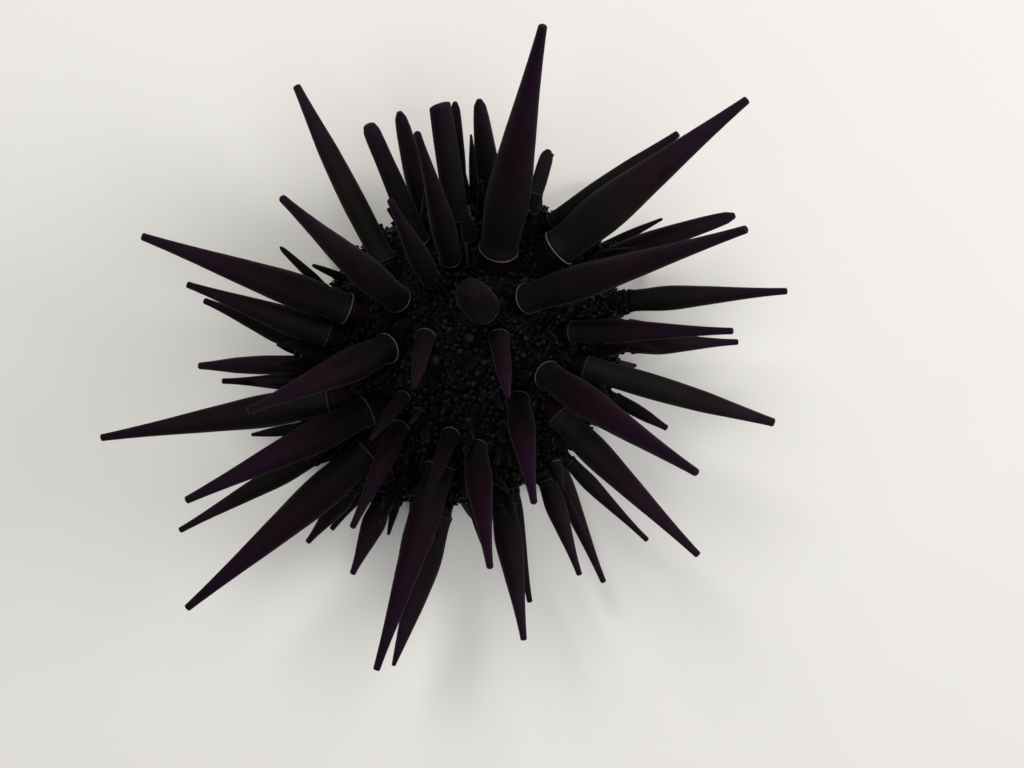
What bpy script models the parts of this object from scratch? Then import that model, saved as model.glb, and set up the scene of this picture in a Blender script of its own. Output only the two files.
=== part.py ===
"""Oblong sea urchin, a still life-size model in metres, +Z up, standing on z = 0."""

import math
import random

import bmesh
import bpy
import numpy as np
from mathutils import Matrix, Vector

MM = 0.001

# Test: an oblong dome over a shallower base
TEST_LENGTH = 35.0 * MM
TEST_WIDTH = 30.0 * MM
LONG_AXIS_AZIMUTH = math.radians(40)
AMBITUS_HEIGHT = 12.0 * MM
CROWN_RISE = 10.5 * MM
BASE_DROP = 8.0 * MM
TEST_SEGMENTS = 28
TEST_RINGS = 14

# Cuts that part the test into five rays, each with an upper and a lower piece
RAY_EDGES = tuple(math.radians(a) for a in (28.0, 116.0, 188.5, 248.0, 319.3))
LEVEL_CUT_HEIGHT = 10.4 * MM
GAP = 0.3 * MM
FAR = 60.0 * MM

# Apical disc, mouth membrane and teeth
APICAL_RADIUS = 2.7 * MM
APICAL_SINK = 1.2 * MM
APICAL_PROUD = 0.35 * MM
MOUTH_RADIUS = 5.6 * MM
MOUTH_CEILING = 6.2 * MM
MOUTH_LOW = 4.1 * MM
LIP_RISE = 0.6 * MM
RIM_RISE = 0.9 * MM
DISC_EDGE = 0.35 * MM
DISC_VENT = 0.25 * MM
DISC_SIDES = 20
MOUTH_SIDES = 30
SEAT_SIDES = 24
TOOTH_REACH = 2.0 * MM
TOOTH_WIDTH = 1.3 * MM
TOOTH_THICKNESS = 0.9 * MM
TOOTH_PLACE = 1.6 * MM
TOOTH_ROOT = 1.6 * MM
TOOTH_SHOULDER = 0.4 * MM
TOOTH_LEAN = 0.5 * MM
TOOTH_POINT = 0.4
TOOTH_KEEL = 0.55
TEETH = 5

# Spines: how the base sits on the test, and how clear they stay of each other
RING_HEIGHT_SHARE = 0.95
RING_LIFT = 0.3 * MM
RING_THICKNESS_SHARE = 0.3
BALL_SHARE = 0.75
NECK_SHARE = 0.52
BOSS_FOOT_SHARE = 0.8
BOSS_TOP_SHARE = 0.55
SINK = 1.2 * MM
CLEARANCE = 0.35 * MM
CUT_CLEARANCE = 0.22 * MM
SAMPLE_STEP = 0.6 * MM
MIN_GIRTH = 0.55 * MM
FLOOR_CLEARANCE = 0.6 * MM
BALL_DEPTH_SHARE = 0.4
BALL_FOOT_SHARE = 0.3
BOSS_RISE_SHARE = 0.1
THIN_GIRTH = 1.2 * MM
MARCH_STEP = 0.05 * MM
MARCH_REACH = 20.0 * MM
ROOT_REACH = 6.0 * MM
BASE_ZONE = 3.0 * MM
RIM_SAMPLES = 12
COVER_SAMPLES = 6
LIFTS = (0, -1, 1, -2, 2, -3, 3, -4, 4)
SHIFTS = tuple((x, y) for x in (-8, -4, 0, 4, 8) for y in (-8, -4, 0, 4, 8))
PIXEL_WEIGHT = 0.35
PIXEL_LIFT = 0.2 * MM
AZIMUTH_STEPS = 720
ALONG_WEIGHT = 0.02
ATTEMPTS = 60
POLAR_SPREAD = 5.0
FOOT_SLOPE = -0.15
FOOT_REACH = 1.6
RANDOM_SEED = 29
SEEN_SIDES = 8
FLANK_SIDES = 6
SMALL_SIDES = 5
MERGE = 0.002 * MM
DOME_SHARE = 0.6
WIDE_END = 0.6 * MM
FLAT_RISE = 0.1 * MM
FLAT_ANGLE = math.radians(0.1)

# Shares of the way from ring to tip, and of the ring's radius
TAPERED = ((0.0, 1.0), (0.03, 0.92), (0.24, 1.06), (0.5, 0.8), (0.74, 0.48), (1.0, 0.15))
SWOLLEN = ((0.0, 1.0), (0.03, 0.95), (0.3, 1.22), (0.52, 1.0), (0.76, 0.6), (1.0, 0.17))
BLUNT = ((0.0, 1.0), (0.03, 0.92), (0.25, 1.05), (0.65, 0.84), (0.94, 0.55), (1.0, 0.3))
EGG = ((0.0, 1.0), (0.05, 0.97), (0.4, 0.98), (0.72, 0.87), (0.92, 0.62), (1.0, 0.34))
ROUNDED = ((0.0, 1.0), (0.03, 0.94), (0.2, 1.04), (0.7, 0.96), (0.95, 0.8), (1.0, 0.5))
CUT_OFF = ((0.0, 1.0), (0.03, 0.94), (0.2, 1.04), (0.7, 0.98), (1.0, 0.9))
SLIM = ((0.0, 1.0), (0.05, 0.88), (0.5, 0.7), (1.0, 0.22))
SHORT = ((0.0, 1.0), (0.38, 0.95), (1.0, 0.24))
STUB = ((0.0, 1.0), (0.6, 0.8), (1.0, 0.4))
FOOT = ((0.0, 1.0), (0.35, 0.92), (1.0, 0.45))

# Camera that the photographed spines are laid out by
PHOTO_WIDTH = 1024
PHOTO_HEIGHT = 768
FIELD_OF_VIEW = math.radians(40)
VIEW_TILT = math.radians(10)
APEX_PIXEL = (460, 368)
APEX_DISTANCE = 137.0 * MM
FOCAL_PIXELS = PHOTO_WIDTH / 2 / math.tan(FIELD_OF_VIEW / 2)
VIEW_BACK = Vector((0.0, math.sin(VIEW_TILT), math.cos(VIEW_TILT)))
VIEW_UP = Vector((0.0, math.cos(VIEW_TILT), -math.sin(VIEW_TILT)))
VIEW_RIGHT = Vector((1.0, 0.0, 0.0))
APEX = Vector((0.0, 0.0, AMBITUS_HEIGHT + CROWN_RISE))
METRES_PER_PIXEL = APEX_DISTANCE / FOCAL_PIXELS
VIEWPOINT = (
    APEX
    + APEX_DISTANCE * VIEW_BACK
    - (APEX_PIXEL[0] - PHOTO_WIDTH / 2) * METRES_PER_PIXEL * VIEW_RIGHT
    + (APEX_PIXEL[1] - PHOTO_HEIGHT / 2) * METRES_PER_PIXEL * VIEW_UP
)

# Dark middle of the urchin in the picture, and how far a spine may show past its cover
CORE_PIXEL = (455, 350)
CORE_PIXELS = 165
COVER_PIXELS = 1

# Spines in sight: ring pixel, tip pixel, tip height mm, ring width mm, form
IN_SIGHT = (
    ((499, 247), (543, 25), 37.0, 3.9, TAPERED),
    ((457, 217), (440, 107), 22.0, 2.3, CUT_OFF),
    ((450, 257), (417, 133), 40.0, 2.25, TAPERED),
    ((419, 240), (373, 129), 25.0, 2.3, ROUNDED),
    ((431, 283), (390, 200), 35.0, 2.1, TAPERED),
    ((384, 260), (298, 84), 18.0, 2.8, TAPERED),
    ((396, 298), (282, 198), 43.0, 2.9, TAPERED),
    ((345, 308), (141, 236), 27.0, 3.2, TAPERED),
    ((330, 335), (186, 284), 22.0, 2.6, TAPERED),
    ((385, 349), (248, 411), 38.0, 3.1, TAPERED),
    ((326, 401), (100, 438), 23.0, 3.1, TAPERED),
    ((365, 412), (185, 501), 31.0, 3.2, TAPERED),
    ((366, 453), (186, 609), 27.0, 3.4, TAPERED),
    ((399, 428), (352, 528), 33.0, 2.0, TAPERED),
    ((402, 398), (370, 440), 31.0, 1.6, SLIM),
    ((440, 467), (376, 671), 28.0, 3.0, TAPERED),
    ((446, 440), (430, 488), 31.0, 1.95, SLIM),
    ((476, 450), (490, 568), 37.0, 2.5, TAPERED),
    ((518, 406), (534, 503), 37.0, 2.5, TAPERED),
    ((560, 417), (699, 556), 28.0, 2.8, TAPERED),
    ((549, 376), (697, 473), 44.0, 3.0, TAPERED),
    ((588, 368), (774, 422), 26.0, 2.8, TAPERED),
    ((573, 331), (734, 331), 28.0, 2.2, TAPERED),
    ((529, 298), (747, 229), 42.0, 3.1, TAPERED),
    ((560, 247), (748, 99), 26.0, 3.9, TAPERED),
    ((553, 224), (677, 133), 20.0, 2.2, TAPERED),
    ((481, 306), (467, 290), 31.0, 3.5, EGG),
    ((425, 338), (414, 388), 31.0, 2.1, SLIM),
    ((499, 335), (508, 398), 32.0, 2.2, SLIM),
)

# Spines with a hidden root: tip pixel, pixel it points from, ring and tip height, width
UNDER_COVER = (
    ((479, 99), (492, 205), 14.5, 20.0, 2.2, BLUNT),
    ((471, 133), (476, 222), 12.6, 15.0, 1.1, SLIM),
    ((454, 101), (463, 200), 13.5, 18.0, 1.7, TAPERED),
    ((398, 111), (430, 230), 14.5, 19.0, 2.1, TAPERED),
    ((279, 245), (350, 298), 14.0, 17.0, 1.8, TAPERED),
    ((203, 300), (320, 350), 16.2, 16.5, 2.2, TAPERED),
    ((275, 344), (322, 356), 11.5, 12.0, 1.3, SLIM),
    ((198, 364), (345, 356), 13.9, 12.5, 2.0, TAPERED),
    ((221, 381), (330, 382), 8.6, 9.0, 1.9, TAPERED),
    ((250, 435), (330, 425), 13.0, 14.5, 1.6, SLIM),
    ((179, 531), (345, 437), 13.5, 14.5, 2.3, TAPERED),
    ((307, 543), (367, 468), 14.0, 14.0, 2.2, TAPERED),
    ((331, 530), (377, 468), 8.0, 7.0, 1.9, TAPERED),
    ((352, 575), (395, 470), 14.0, 15.5, 2.4, TAPERED),
    ((388, 536), (402, 475), 8.0, 7.0, 1.6, SLIM),
    ((393, 667), (455, 470), 14.0, 17.0, 2.5, SWOLLEN),
    ((524, 641), (495, 450), 14.5, 19.0, 2.8, TAPERED),
    ((530, 603), (505, 465), 8.2, 8.0, 2.0, TAPERED),
    ((580, 576), (533, 440), 14.0, 17.0, 2.1, TAPERED),
    ((604, 583), (553, 460), 8.2, 8.0, 2.2, TAPERED),
    ((647, 540), (548, 440), 13.5, 13.0, 1.8, TAPERED),
    ((667, 427), (600, 388), 13.6, 15.0, 1.7, BLUNT),
    ((739, 342), (585, 345), 13.0, 13.0, 2.1, TAPERED),
    ((788, 291), (600, 302), 14.5, 21.0, 2.4, TAPERED),
    ((710, 290), (600, 305), 8.2, 9.0, 1.8, TAPERED),
    ((733, 212), (585, 262), 13.5, 15.0, 2.3, BLUNT),
    ((661, 219), (588, 256), 8.4, 9.0, 1.4, SLIM),
    ((546, 150), (527, 238), 13.0, 12.0, 1.9, TAPERED),
)

# Rule for the rest: polar angle, count, mm long, ring width mm, droop, feet, form
TIERS = (
    (60, 15, 4.5, 0.9, 0.2, False, STUB),
    (80, 17, 5.5, 1.1, 0.0, False, STUB),
    (116, 22, 9.0, 1.9, -0.25, False, SHORT),
    (129, 20, 7.0, 1.8, -0.4, True, FOOT),
    (143, 15, 6.0, 1.6, -0.3, True, FOOT),
)
FILL = ((22, 8, 3.5), (32, 10, 4.0), (44, 12, 4.5))


def clear_scene():
    """Take every object and mesh out before building."""
    for item in list(bpy.data.objects):
        bpy.data.objects.remove(item, do_unlink=True)
    for group in list(bpy.data.collections):
        bpy.data.collections.remove(group)


def ellipse_radius(azimuth):
    """Radius of the test's outline at the ambitus."""
    turn = azimuth - LONG_AXIS_AZIMUTH
    along = math.cos(turn) / (TEST_LENGTH / 2)
    across = math.sin(turn) / (TEST_WIDTH / 2)
    return 1.0 / math.hypot(along, across)


def on_test(azimuth, polar):
    """Point of the test, polar 0 at the apex and pi at the mouth."""
    reach = ellipse_radius(azimuth) * math.sin(polar)
    drop = CROWN_RISE if polar < math.pi / 2 else BASE_DROP
    height = AMBITUS_HEIGHT + drop * math.cos(polar)
    return Vector((reach * math.cos(azimuth), reach * math.sin(azimuth), height))


def test_gradient(p):
    """Size of p as a share of the test's, and the outward gradient there."""
    long_dir = Vector((math.cos(LONG_AXIS_AZIMUTH), math.sin(LONG_AXIS_AZIMUTH), 0.0))
    wide_dir = Vector((-long_dir.y, long_dir.x, 0.0))
    rise = p.z - AMBITUS_HEIGHT
    c = CROWN_RISE if rise > 0 else BASE_DROP
    a = TEST_LENGTH / 2
    b = TEST_WIDTH / 2
    x = p.dot(long_dir)
    y = p.dot(wide_dir)
    size = max(math.sqrt((x / a) ** 2 + (y / b) ** 2 + (rise / c) ** 2), 1e-6)
    gradient = long_dir * (x / a**2) + wide_dir * (y / b**2) + Vector((0.0, 0.0, rise / c**2))
    return size, gradient / size


def height_over_test(p):
    """How far p lies outside the test, negative inside it."""
    size, gradient = test_gradient(p)
    return (size - 1.0) / gradient.length


def outward(p):
    """Unit normal of the test nearest to p."""
    return test_gradient(p)[1].normalized()


def sight_line(pixel):
    """Direction from the camera through a pixel."""
    across = (pixel[0] - PHOTO_WIDTH / 2) / FOCAL_PIXELS
    down = (pixel[1] - PHOTO_HEIGHT / 2) / FOCAL_PIXELS
    return across * VIEW_RIGHT - down * VIEW_UP - VIEW_BACK


def seen_at(p):
    """Pixel at which a point is seen."""
    away = p - VIEWPOINT
    depth = -away.dot(VIEW_BACK)
    x = PHOTO_WIDTH / 2 + FOCAL_PIXELS * away.dot(VIEW_RIGHT) / depth
    y = PHOTO_HEIGHT / 2 - FOCAL_PIXELS * away.dot(VIEW_UP) / depth
    return x, y


def at_height(pixel, height):
    """Point at a height that is seen at a pixel."""
    line = sight_line(pixel)
    return VIEWPOINT + line * ((height - VIEWPOINT.z) / line.z)


def ring_in_sight(pixel, height):
    """First point of a pixel's sight line that is this near to the test."""
    line = sight_line(pixel)
    near = APEX_DISTANCE - MARCH_REACH
    far = APEX_DISTANCE + MARCH_REACH
    while height_over_test(VIEWPOINT + line * near) > height and near < far:
        near += MARCH_STEP
    return VIEWPOINT + line * near


def ring_under_cover(tip, toward, ring_height, over):
    """Point of the flank at a height, in line with two pixels and on the tip's side."""
    run = Vector((toward[0] - tip[0], toward[1] - tip[1])).normalized()
    best = None
    rise = (ring_height - AMBITUS_HEIGHT) / (CROWN_RISE + over)
    polar = math.acos(max(-1.0, min(1.0, rise)))
    for step in range(AZIMUTH_STEPS):
        azimuth = 2 * math.pi * step / AZIMUTH_STEPS
        reach = (ellipse_radius(azimuth) + over) * math.sin(polar)
        p = Vector((reach * math.cos(azimuth), reach * math.sin(azimuth), ring_height))
        x, y = seen_at(p)
        off = Vector((x - tip[0], y - tip[1]))
        aside = abs(off.x * run.y - off.y * run.x)
        score = aside + ALONG_WEIGHT * abs(off.dot(run))
        if off.dot(run) > 0 and (best is None or score < best[0]):
            best = (score, p)
    return best[1]


def shaft_rows(ring, tip, girth, form):
    """Stations of a spine from its ring to its tip: point and radius."""
    way = (tip - ring).normalized()
    length = (tip - ring).length
    half = girth / 2
    rows = [(ring - way * half * RING_THICKNESS_SHARE, half)]
    rows += [(ring + way * length * share, half * width) for share, width in form]
    return rows


def on_boss(ring, tip, girth, form):
    """A leaning spine's own stations, and those of the knob of the test that it turns on."""
    way = (tip - ring).normalized()
    half = girth / 2
    ball = ring - way * half * BALL_SHARE
    up = outward(ball)
    seat = ball - up * height_over_test(ball)
    shaft = [(ball - way * half * BALL_DEPTH_SHARE, half * BALL_FOOT_SHARE)]
    shaft.append((ball, half * NECK_SHARE))
    shaft += shaft_rows(ring, tip, girth, form)
    boss = [(seat - up * SINK, half * BOSS_FOOT_SHARE), (seat, half * BOSS_FOOT_SHARE)]
    boss.append((ball + up * half * BOSS_RISE_SHARE, half * BOSS_TOP_SHARE))
    return [boss, shaft]


def straight_in(ring, tip, girth, form):
    """A spine that stands nearly square on the test, with its root sunk along its own axis."""
    way = (tip - ring).normalized()
    half = girth / 2
    back = 0.0
    while height_over_test(ring - way * back) > -SINK and back < ROOT_REACH:
        back += MARCH_STEP
    root = [(ring - way * back, half * NECK_SHARE)]
    if girth > THIN_GIRTH:
        root.append((ring - way * half * BALL_SHARE, half * NECK_SHARE))
        return [root + shaft_rows(ring, tip, girth, form)]
    length = (tip - ring).length
    return [root + [(ring + way * length * share, half * width) for share, width in form]]


def samples(rows):
    """Points and radii along a spine, close enough together to measure from."""
    found = []
    for (p, r), (q, s) in zip(rows, rows[1:]):
        steps = max(1, math.ceil((q - p).length / SAMPLE_STEP))
        for k in range(steps):
            share = k / steps
            found.append((p.lerp(q, share), r + (s - r) * share))
    found.append(rows[-1])
    return found


def boxed(points):
    """A spine's samples as an array, with the corners of its box."""
    table = np.array([(*p, r) for p, r in points])
    low = (table[:, :3] - table[:, 3:]).min(0)
    high = (table[:, :3] + table[:, 3:]).max(0)
    return table, low, high


def is_clear(new, others):
    """Whether a new spine stays clear of every other."""
    table, low, high = new
    for other, other_low, other_high in others:
        if (other_low > high + CLEARANCE).any() or (other_high < low - CLEARANCE).any():
            continue
        apart = np.linalg.norm(table[:, None, :3] - other[None, :, :3], axis=2)
        if (apart - table[:, None, 3] - other[None, :, 3]).min() < CLEARANCE:
            return False
    return True


def ray_of(p):
    """Number of the ray that a point's azimuth lies in."""
    azimuth = math.atan2(p.y, p.x) % (2 * math.pi)
    for k, edge in enumerate(RAY_EDGES):
        following = RAY_EDGES[(k + 1) % len(RAY_EDGES)]
        width = (following - edge) % (2 * math.pi)
        if (azimuth - edge) % (2 * math.pi) < width:
            return k
    return 0


def node_of(p):
    """Ray number and whether the point is in the upper piece."""
    return ray_of(p), p.z > LEVEL_CUT_HEIGHT


def within_node(p, node):
    """How far a point is inside the cuts around its node."""
    ray, upper = node
    start = RAY_EDGES[ray]
    end = RAY_EDGES[(ray + 1) % len(RAY_EDGES)]
    from_start = p.y * math.cos(start) - p.x * math.sin(start)
    from_end = p.x * math.sin(end) - p.y * math.cos(end)
    from_level = p.z - LEVEL_CUT_HEIGHT if upper else LEVEL_CUT_HEIGHT - p.z
    return min(from_start, from_end, from_level)


def is_covered(points, seen):
    """Whether a spine would be seen only over the test or under the spines in the photo."""
    for p, r in points[:: len(points) // COVER_SAMPLES]:
        x, y = seen_at(p)
        if math.hypot(x - CORE_PIXEL[0], y - CORE_PIXEL[1]) < CORE_PIXELS:
            continue
        if (np.hypot(seen[:, 0] - x, seen[:, 1] - y) > seen[:, 2] + COVER_PIXELS).all():
            return False
    return True


def sits_clear(points, node, way):
    """Whether a spine's base keeps to its own node and off the disc and the mouth."""
    side = way.orthogonal().normalized()
    other = way.cross(side)
    for p, r in points:
        if height_over_test(p) > BASE_ZONE:
            continue
        for k in range(RIM_SAMPLES):
            turn = 2 * math.pi * k / RIM_SAMPLES
            rim = p + side * (r * math.cos(turn)) + other * (r * math.sin(turn))
            over = height_over_test(rim)
            if over < CLEARANCE and within_node(rim, node) < CUT_CLEARANCE:
                return False
            reach = math.hypot(rim.x, rim.y)
            if rim.z > AMBITUS_HEIGHT and reach < APICAL_RADIUS + GAP + CLEARANCE:
                if over < APICAL_PROUD + CLEARANCE:
                    return False
            if rim.z < AMBITUS_HEIGHT and reach < MOUTH_RADIUS + GAP + CLEARANCE:
                return False
    return True


def nudges(lifts, shifts):
    """The stated place first, then small changes of height and place, nearest first."""
    tries = [(lift, x, y) for lift in lifts for x, y in shifts]
    return sorted(tries, key=lambda t: abs(t[0]) + PIXEL_WEIGHT * math.hypot(t[1], t[2]))


def lay_out():
    """Every spine's stations, those in sight first, then the rest by rule."""
    draw = random.Random(RANDOM_SEED)
    kept = []
    spines = []
    seen = []

    def fits(pieces, sides, foot, by_rule):
        points = [point for rows in pieces for point in samples(rows)]
        if by_rule and not is_covered(samples(pieces[-1])[::-1], np.array(seen)):
            return False
        node = node_of(pieces[0][0][0])
        way = (pieces[-1][-1][0] - pieces[-1][0][0]).normalized()
        solid = boxed(points)
        if not is_clear(solid, kept) or not sits_clear(points, node, way):
            return False
        kept.append(solid)
        spines.append((node, pieces, sides, foot))
        if not by_rule:
            for p, r in points:
                depth = (VIEWPOINT - p).dot(VIEW_BACK)
                seen.append((*seen_at(p), r * FOCAL_PIXELS / depth))
        return True

    for root, tip, tip_height, width, form in IN_SIGHT:
        girth = width * MM
        over = girth * RING_HEIGHT_SHARE / 2 + RING_LIFT
        for lift, x, y in nudges(LIFTS, SHIFTS):
            ring = ring_in_sight((root[0] + x, root[1] + y), over)
            end = at_height(tip, (tip_height + lift) * MM)
            if fits(on_boss(ring, end, girth, form), SEEN_SIDES, False, False):
                break
    for tip, toward, ring_z, tip_z, width, form in UNDER_COVER:
        girth = width * MM
        plain_form = form[:1] + form[2:]
        over = girth * RING_HEIGHT_SHARE / 2 + RING_LIFT
        for lift, x, y in nudges(LIFTS, SHIFTS):
            aim = (toward[0] + x, toward[1])
            ring = ring_under_cover(tip, aim, ring_z * MM + PIXEL_LIFT * y, over)
            end = at_height(tip, (tip_z + lift) * MM)
            if fits(on_boss(ring, end, girth, plain_form), FLANK_SIDES, False, False):
                break
    for polar, count, length, width, droop, feet, form in TIERS:
        for k in range(count):
            for attempt in range(ATTEMPTS):
                azimuth = 2 * math.pi * (k + 0.5 * draw.uniform(-1, 1)) / count
                angle = math.radians(polar + draw.uniform(-POLAR_SPREAD, POLAR_SPREAD))
                girth = max(width * draw.uniform(0.8, 1.15) * MM, MIN_GIRTH)
                seat = on_test(azimuth, angle)
                ring = seat + outward(seat) * (girth * RING_HEIGHT_SHARE / 2 + RING_LIFT)
                way = outward(seat) + Vector((0.0, 0.0, droop + draw.uniform(-0.12, 0.12)))
                way += Vector((draw.uniform(-0.2, 0.2), draw.uniform(-0.2, 0.2), 0.0))
                way.normalize()
                reach = length * draw.uniform(0.85, 1.15) * MM
                if feet:
                    if way.z > FOOT_SLOPE:
                        continue
                    reach = -ring.z / way.z
                    if reach > FOOT_REACH * length * MM:
                        continue
                tip = ring + way * reach
                if not feet and tip.z < FLOOR_CLEARANCE:
                    continue
                if fits(straight_in(ring, tip, girth, form), SMALL_SIDES, feet, True):
                    break
    for polar, count, length in FILL:
        for k in range(count):
            for attempt in range(ATTEMPTS):
                azimuth = 2 * math.pi * (k + 0.5 * draw.uniform(-1, 1)) / count
                angle = math.radians(polar + draw.uniform(-POLAR_SPREAD, POLAR_SPREAD))
                girth = draw.uniform(0.6, 0.9) * MM
                seat = on_test(azimuth, angle)
                ring = seat + outward(seat) * girth
                way = outward(seat)
                way += Vector((draw.uniform(-0.3, 0.3), draw.uniform(-0.3, 0.3), 0.0))
                way.normalize()
                tip = ring + way * length * draw.uniform(0.8, 1.2) * MM
                if fits(straight_in(ring, tip, girth, STUB), SMALL_SIDES, False, True):
                    break
    return spines


def linked(name, mesh, group):
    """A mesh as a named object in a collection."""
    item = bpy.data.objects.new(name, mesh)
    group.objects.link(item)
    return item


def mesh_of(bm, name):
    """The mesh that a bmesh holds, facing out."""
    bmesh.ops.recalc_face_normals(bm, faces=bm.faces)
    mesh = bpy.data.meshes.new(name)
    bm.to_mesh(mesh)
    bm.free()
    return mesh


def turned_mesh(name, outline, sides):
    """A closed solid turned about Z from rows of radius and height."""
    bm = bmesh.new()
    verts = [bm.verts.new((r, 0.0, z)) for r, z in outline]
    edges = [bm.edges.new(pair) for pair in zip(verts, verts[1:])]
    bmesh.ops.spin(
        bm, geom=verts + edges, cent=(0, 0, 0), axis=(0, 0, 1), angle=2 * math.pi, steps=sides
    )
    bmesh.ops.remove_doubles(bm, verts=bm.verts, dist=MERGE)
    return mesh_of(bm, name)


def spine_mesh(name, rows, sides, foot):
    """One closed spine; a foot ends in a flat on the floor."""
    root = rows[0][0]
    tip, tip_radius = rows[-1]
    way = (tip - root).normalized()
    outline = [(0.0, 0.0)]
    outline += [(r, (p - root).length) for p, r in rows]
    last = (tip - root).length
    rise = DOME_SHARE * tip_radius if tip_radius < WIDE_END else FLAT_RISE
    outline.append((0.0, last + (0.0 if foot else rise)))
    mesh = turned_mesh(name, outline, sides)
    stand = Matrix.Translation(root) @ way.to_track_quat("Z", "Y").to_matrix().to_4x4()
    ends = [v.index for v in mesh.vertices if v.co.z > last - MERGE]
    mesh.transform(stand)
    if foot:
        for index in ends:
            co = mesh.vertices[index].co
            mesh.vertices[index].co = co - way * (co.z / way.z)
    return mesh


def with_boolean(item, operation, group):
    """Apply one Boolean with everything in a collection and take that away."""
    modifier = item.modifiers.new("join", "BOOLEAN")
    modifier.operation = operation
    modifier.operand_type = "COLLECTION"
    modifier.collection = group
    modifier.solver = "MANIFOLD"
    mesh = bpy.data.meshes.new_from_object(
        item.evaluated_get(bpy.context.evaluated_depsgraph_get())
    )
    item.modifiers.clear()
    item.data = mesh
    for tool in list(group.objects):
        bpy.data.objects.remove(tool, do_unlink=True)
    bpy.data.collections.remove(group)
    keep_largest(mesh)


def keep_largest(mesh):
    """Leave only the largest closed surface of a mesh."""
    bm = bmesh.new()
    bm.from_mesh(mesh)
    bmesh.ops.remove_doubles(bm, verts=bm.verts, dist=MERGE)
    bmesh.ops.dissolve_degenerate(bm, edges=bm.edges, dist=MERGE)
    waiting = set(bm.faces)
    shells = []
    while waiting:
        todo = [waiting.pop()]
        shell = list(todo)
        while todo:
            for edge in todo.pop().edges:
                for face in edge.link_faces:
                    if face in waiting:
                        waiting.remove(face)
                        todo.append(face)
                        shell.append(face)
        shells.append(shell)
    shells.sort(key=lambda shell: -sum(face.calc_area() for face in shell))
    spare = [face for shell in shells[1:] for face in shell]
    bmesh.ops.delete(bm, geom=spare, context="FACES")
    bmesh.ops.triangulate(bm, faces=bm.faces)
    bmesh.ops.dissolve_limit(
        bm, angle_limit=FLAT_ANGLE, verts=bm.verts, edges=bm.edges, delimit=set()
    )
    bmesh.ops.triangulate(bm, faces=bm.faces)
    bm.to_mesh(mesh)
    bm.free()


def material(name, colour, roughness):
    """A plain material of one colour."""
    made = bpy.data.materials.new(name)
    made.use_nodes = True
    shader = made.node_tree.nodes["Principled BSDF"]
    shader.inputs["Base Color"].default_value = (*colour, 1.0)
    shader.inputs["Roughness"].default_value = roughness
    return made


def fresh(name):
    """A new collection for tools, left out of the render."""
    group = bpy.data.collections.new(name)
    bpy.context.scene.collection.children.link(group)
    return group


def tool(name, mesh, group):
    """A helper object that isn't part of the result."""
    item = linked(name, mesh, group)
    item.hide_render = True
    return item


def dome_mesh(name):
    """The whole test, turned and then stretched to its oblong outline."""
    outline = []
    for k in range(TEST_RINGS + 1):
        polar = math.pi * k / TEST_RINGS
        c = CROWN_RISE if polar < math.pi / 2 else BASE_DROP
        reach = math.sin(polar) if 0 < k < TEST_RINGS else 0.0
        outline.append((reach, c * math.cos(polar)))
    mesh = turned_mesh(name, outline, TEST_SEGMENTS)
    stretch = Matrix.Diagonal((TEST_LENGTH / 2, TEST_WIDTH / 2, 1.0, 1.0))
    mesh.transform(
        Matrix.Translation((0.0, 0.0, AMBITUS_HEIGHT))
        @ Matrix.Rotation(LONG_AXIS_AZIMUTH, 4, "Z")
        @ stretch
    )
    return mesh


def wedge_mesh(name, ray, upper):
    """The block that one ray's upper or lower piece is cut by."""
    start = RAY_EDGES[ray]
    width = (RAY_EDGES[(ray + 1) % len(RAY_EDGES)] - start) % (2 * math.pi)
    inset = GAP / 2
    heart = start + width / 2
    inner = inset / math.sin(width / 2)
    corner = Vector((inner * math.cos(heart), inner * math.sin(heart), 0.0))
    low = LEVEL_CUT_HEIGHT + inset if upper else -FAR
    high = FAR if upper else LEVEL_CUT_HEIGHT - inset
    bm = bmesh.new()
    base = [corner]
    for angle in (start, heart, start + width):
        base.append(corner + FAR * Vector((math.cos(angle), math.sin(angle), 0.0)))
    rings = []
    for height in (low, high):
        rings.append([bm.verts.new((p.x, p.y, height)) for p in base])
    bm.faces.new(rings[0])
    bm.faces.new(rings[1])
    for k in range(len(base)):
        n = (k + 1) % len(base)
        bm.faces.new((rings[0][k], rings[0][n], rings[1][n], rings[1][k]))
    return mesh_of(bm, name)


def drum_mesh(name, radius, low, high):
    """A plain upright cylinder."""
    outline = [(0.0, low), (radius, low), (radius, high), (0.0, high)]
    return turned_mesh(name, outline, SEAT_SIDES)


def build_rays(group, spines):
    """Ten pieces of the test, each with its own spines joined on."""
    coat = material("test_and_spines", (0.05, 0.02, 0.05), 0.5)
    for ray in range(len(RAY_EDGES)):
        for upper in (False, True):
            name = "ray%d_%s" % (ray + 1, "upper" if upper else "lower")
            item = linked(name, dome_mesh(name), group)
            block = fresh("block")
            tool("wedge", wedge_mesh("wedge", ray, upper), block)
            with_boolean(item, "INTERSECT", block)
            hollow = fresh("hollow")
            if upper:
                seat = drum_mesh("seat", APICAL_RADIUS + GAP, APEX.z - APICAL_SINK - GAP, FAR)
            else:
                seat = drum_mesh("seat", MOUTH_RADIUS + GAP, -FAR, MOUTH_CEILING + GAP)
            tool("seat", seat, hollow)
            with_boolean(item, "DIFFERENCE", hollow)
            shafts = fresh("shafts")
            for node, pieces, sides, foot in spines:
                if node == (ray, upper):
                    for rows in pieces:
                        tool("shaft", spine_mesh("shaft", rows, sides, foot), shafts)
            with_boolean(item, "UNION", shafts)
            item.data.name = name
            item.data.materials.append(coat)


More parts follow.
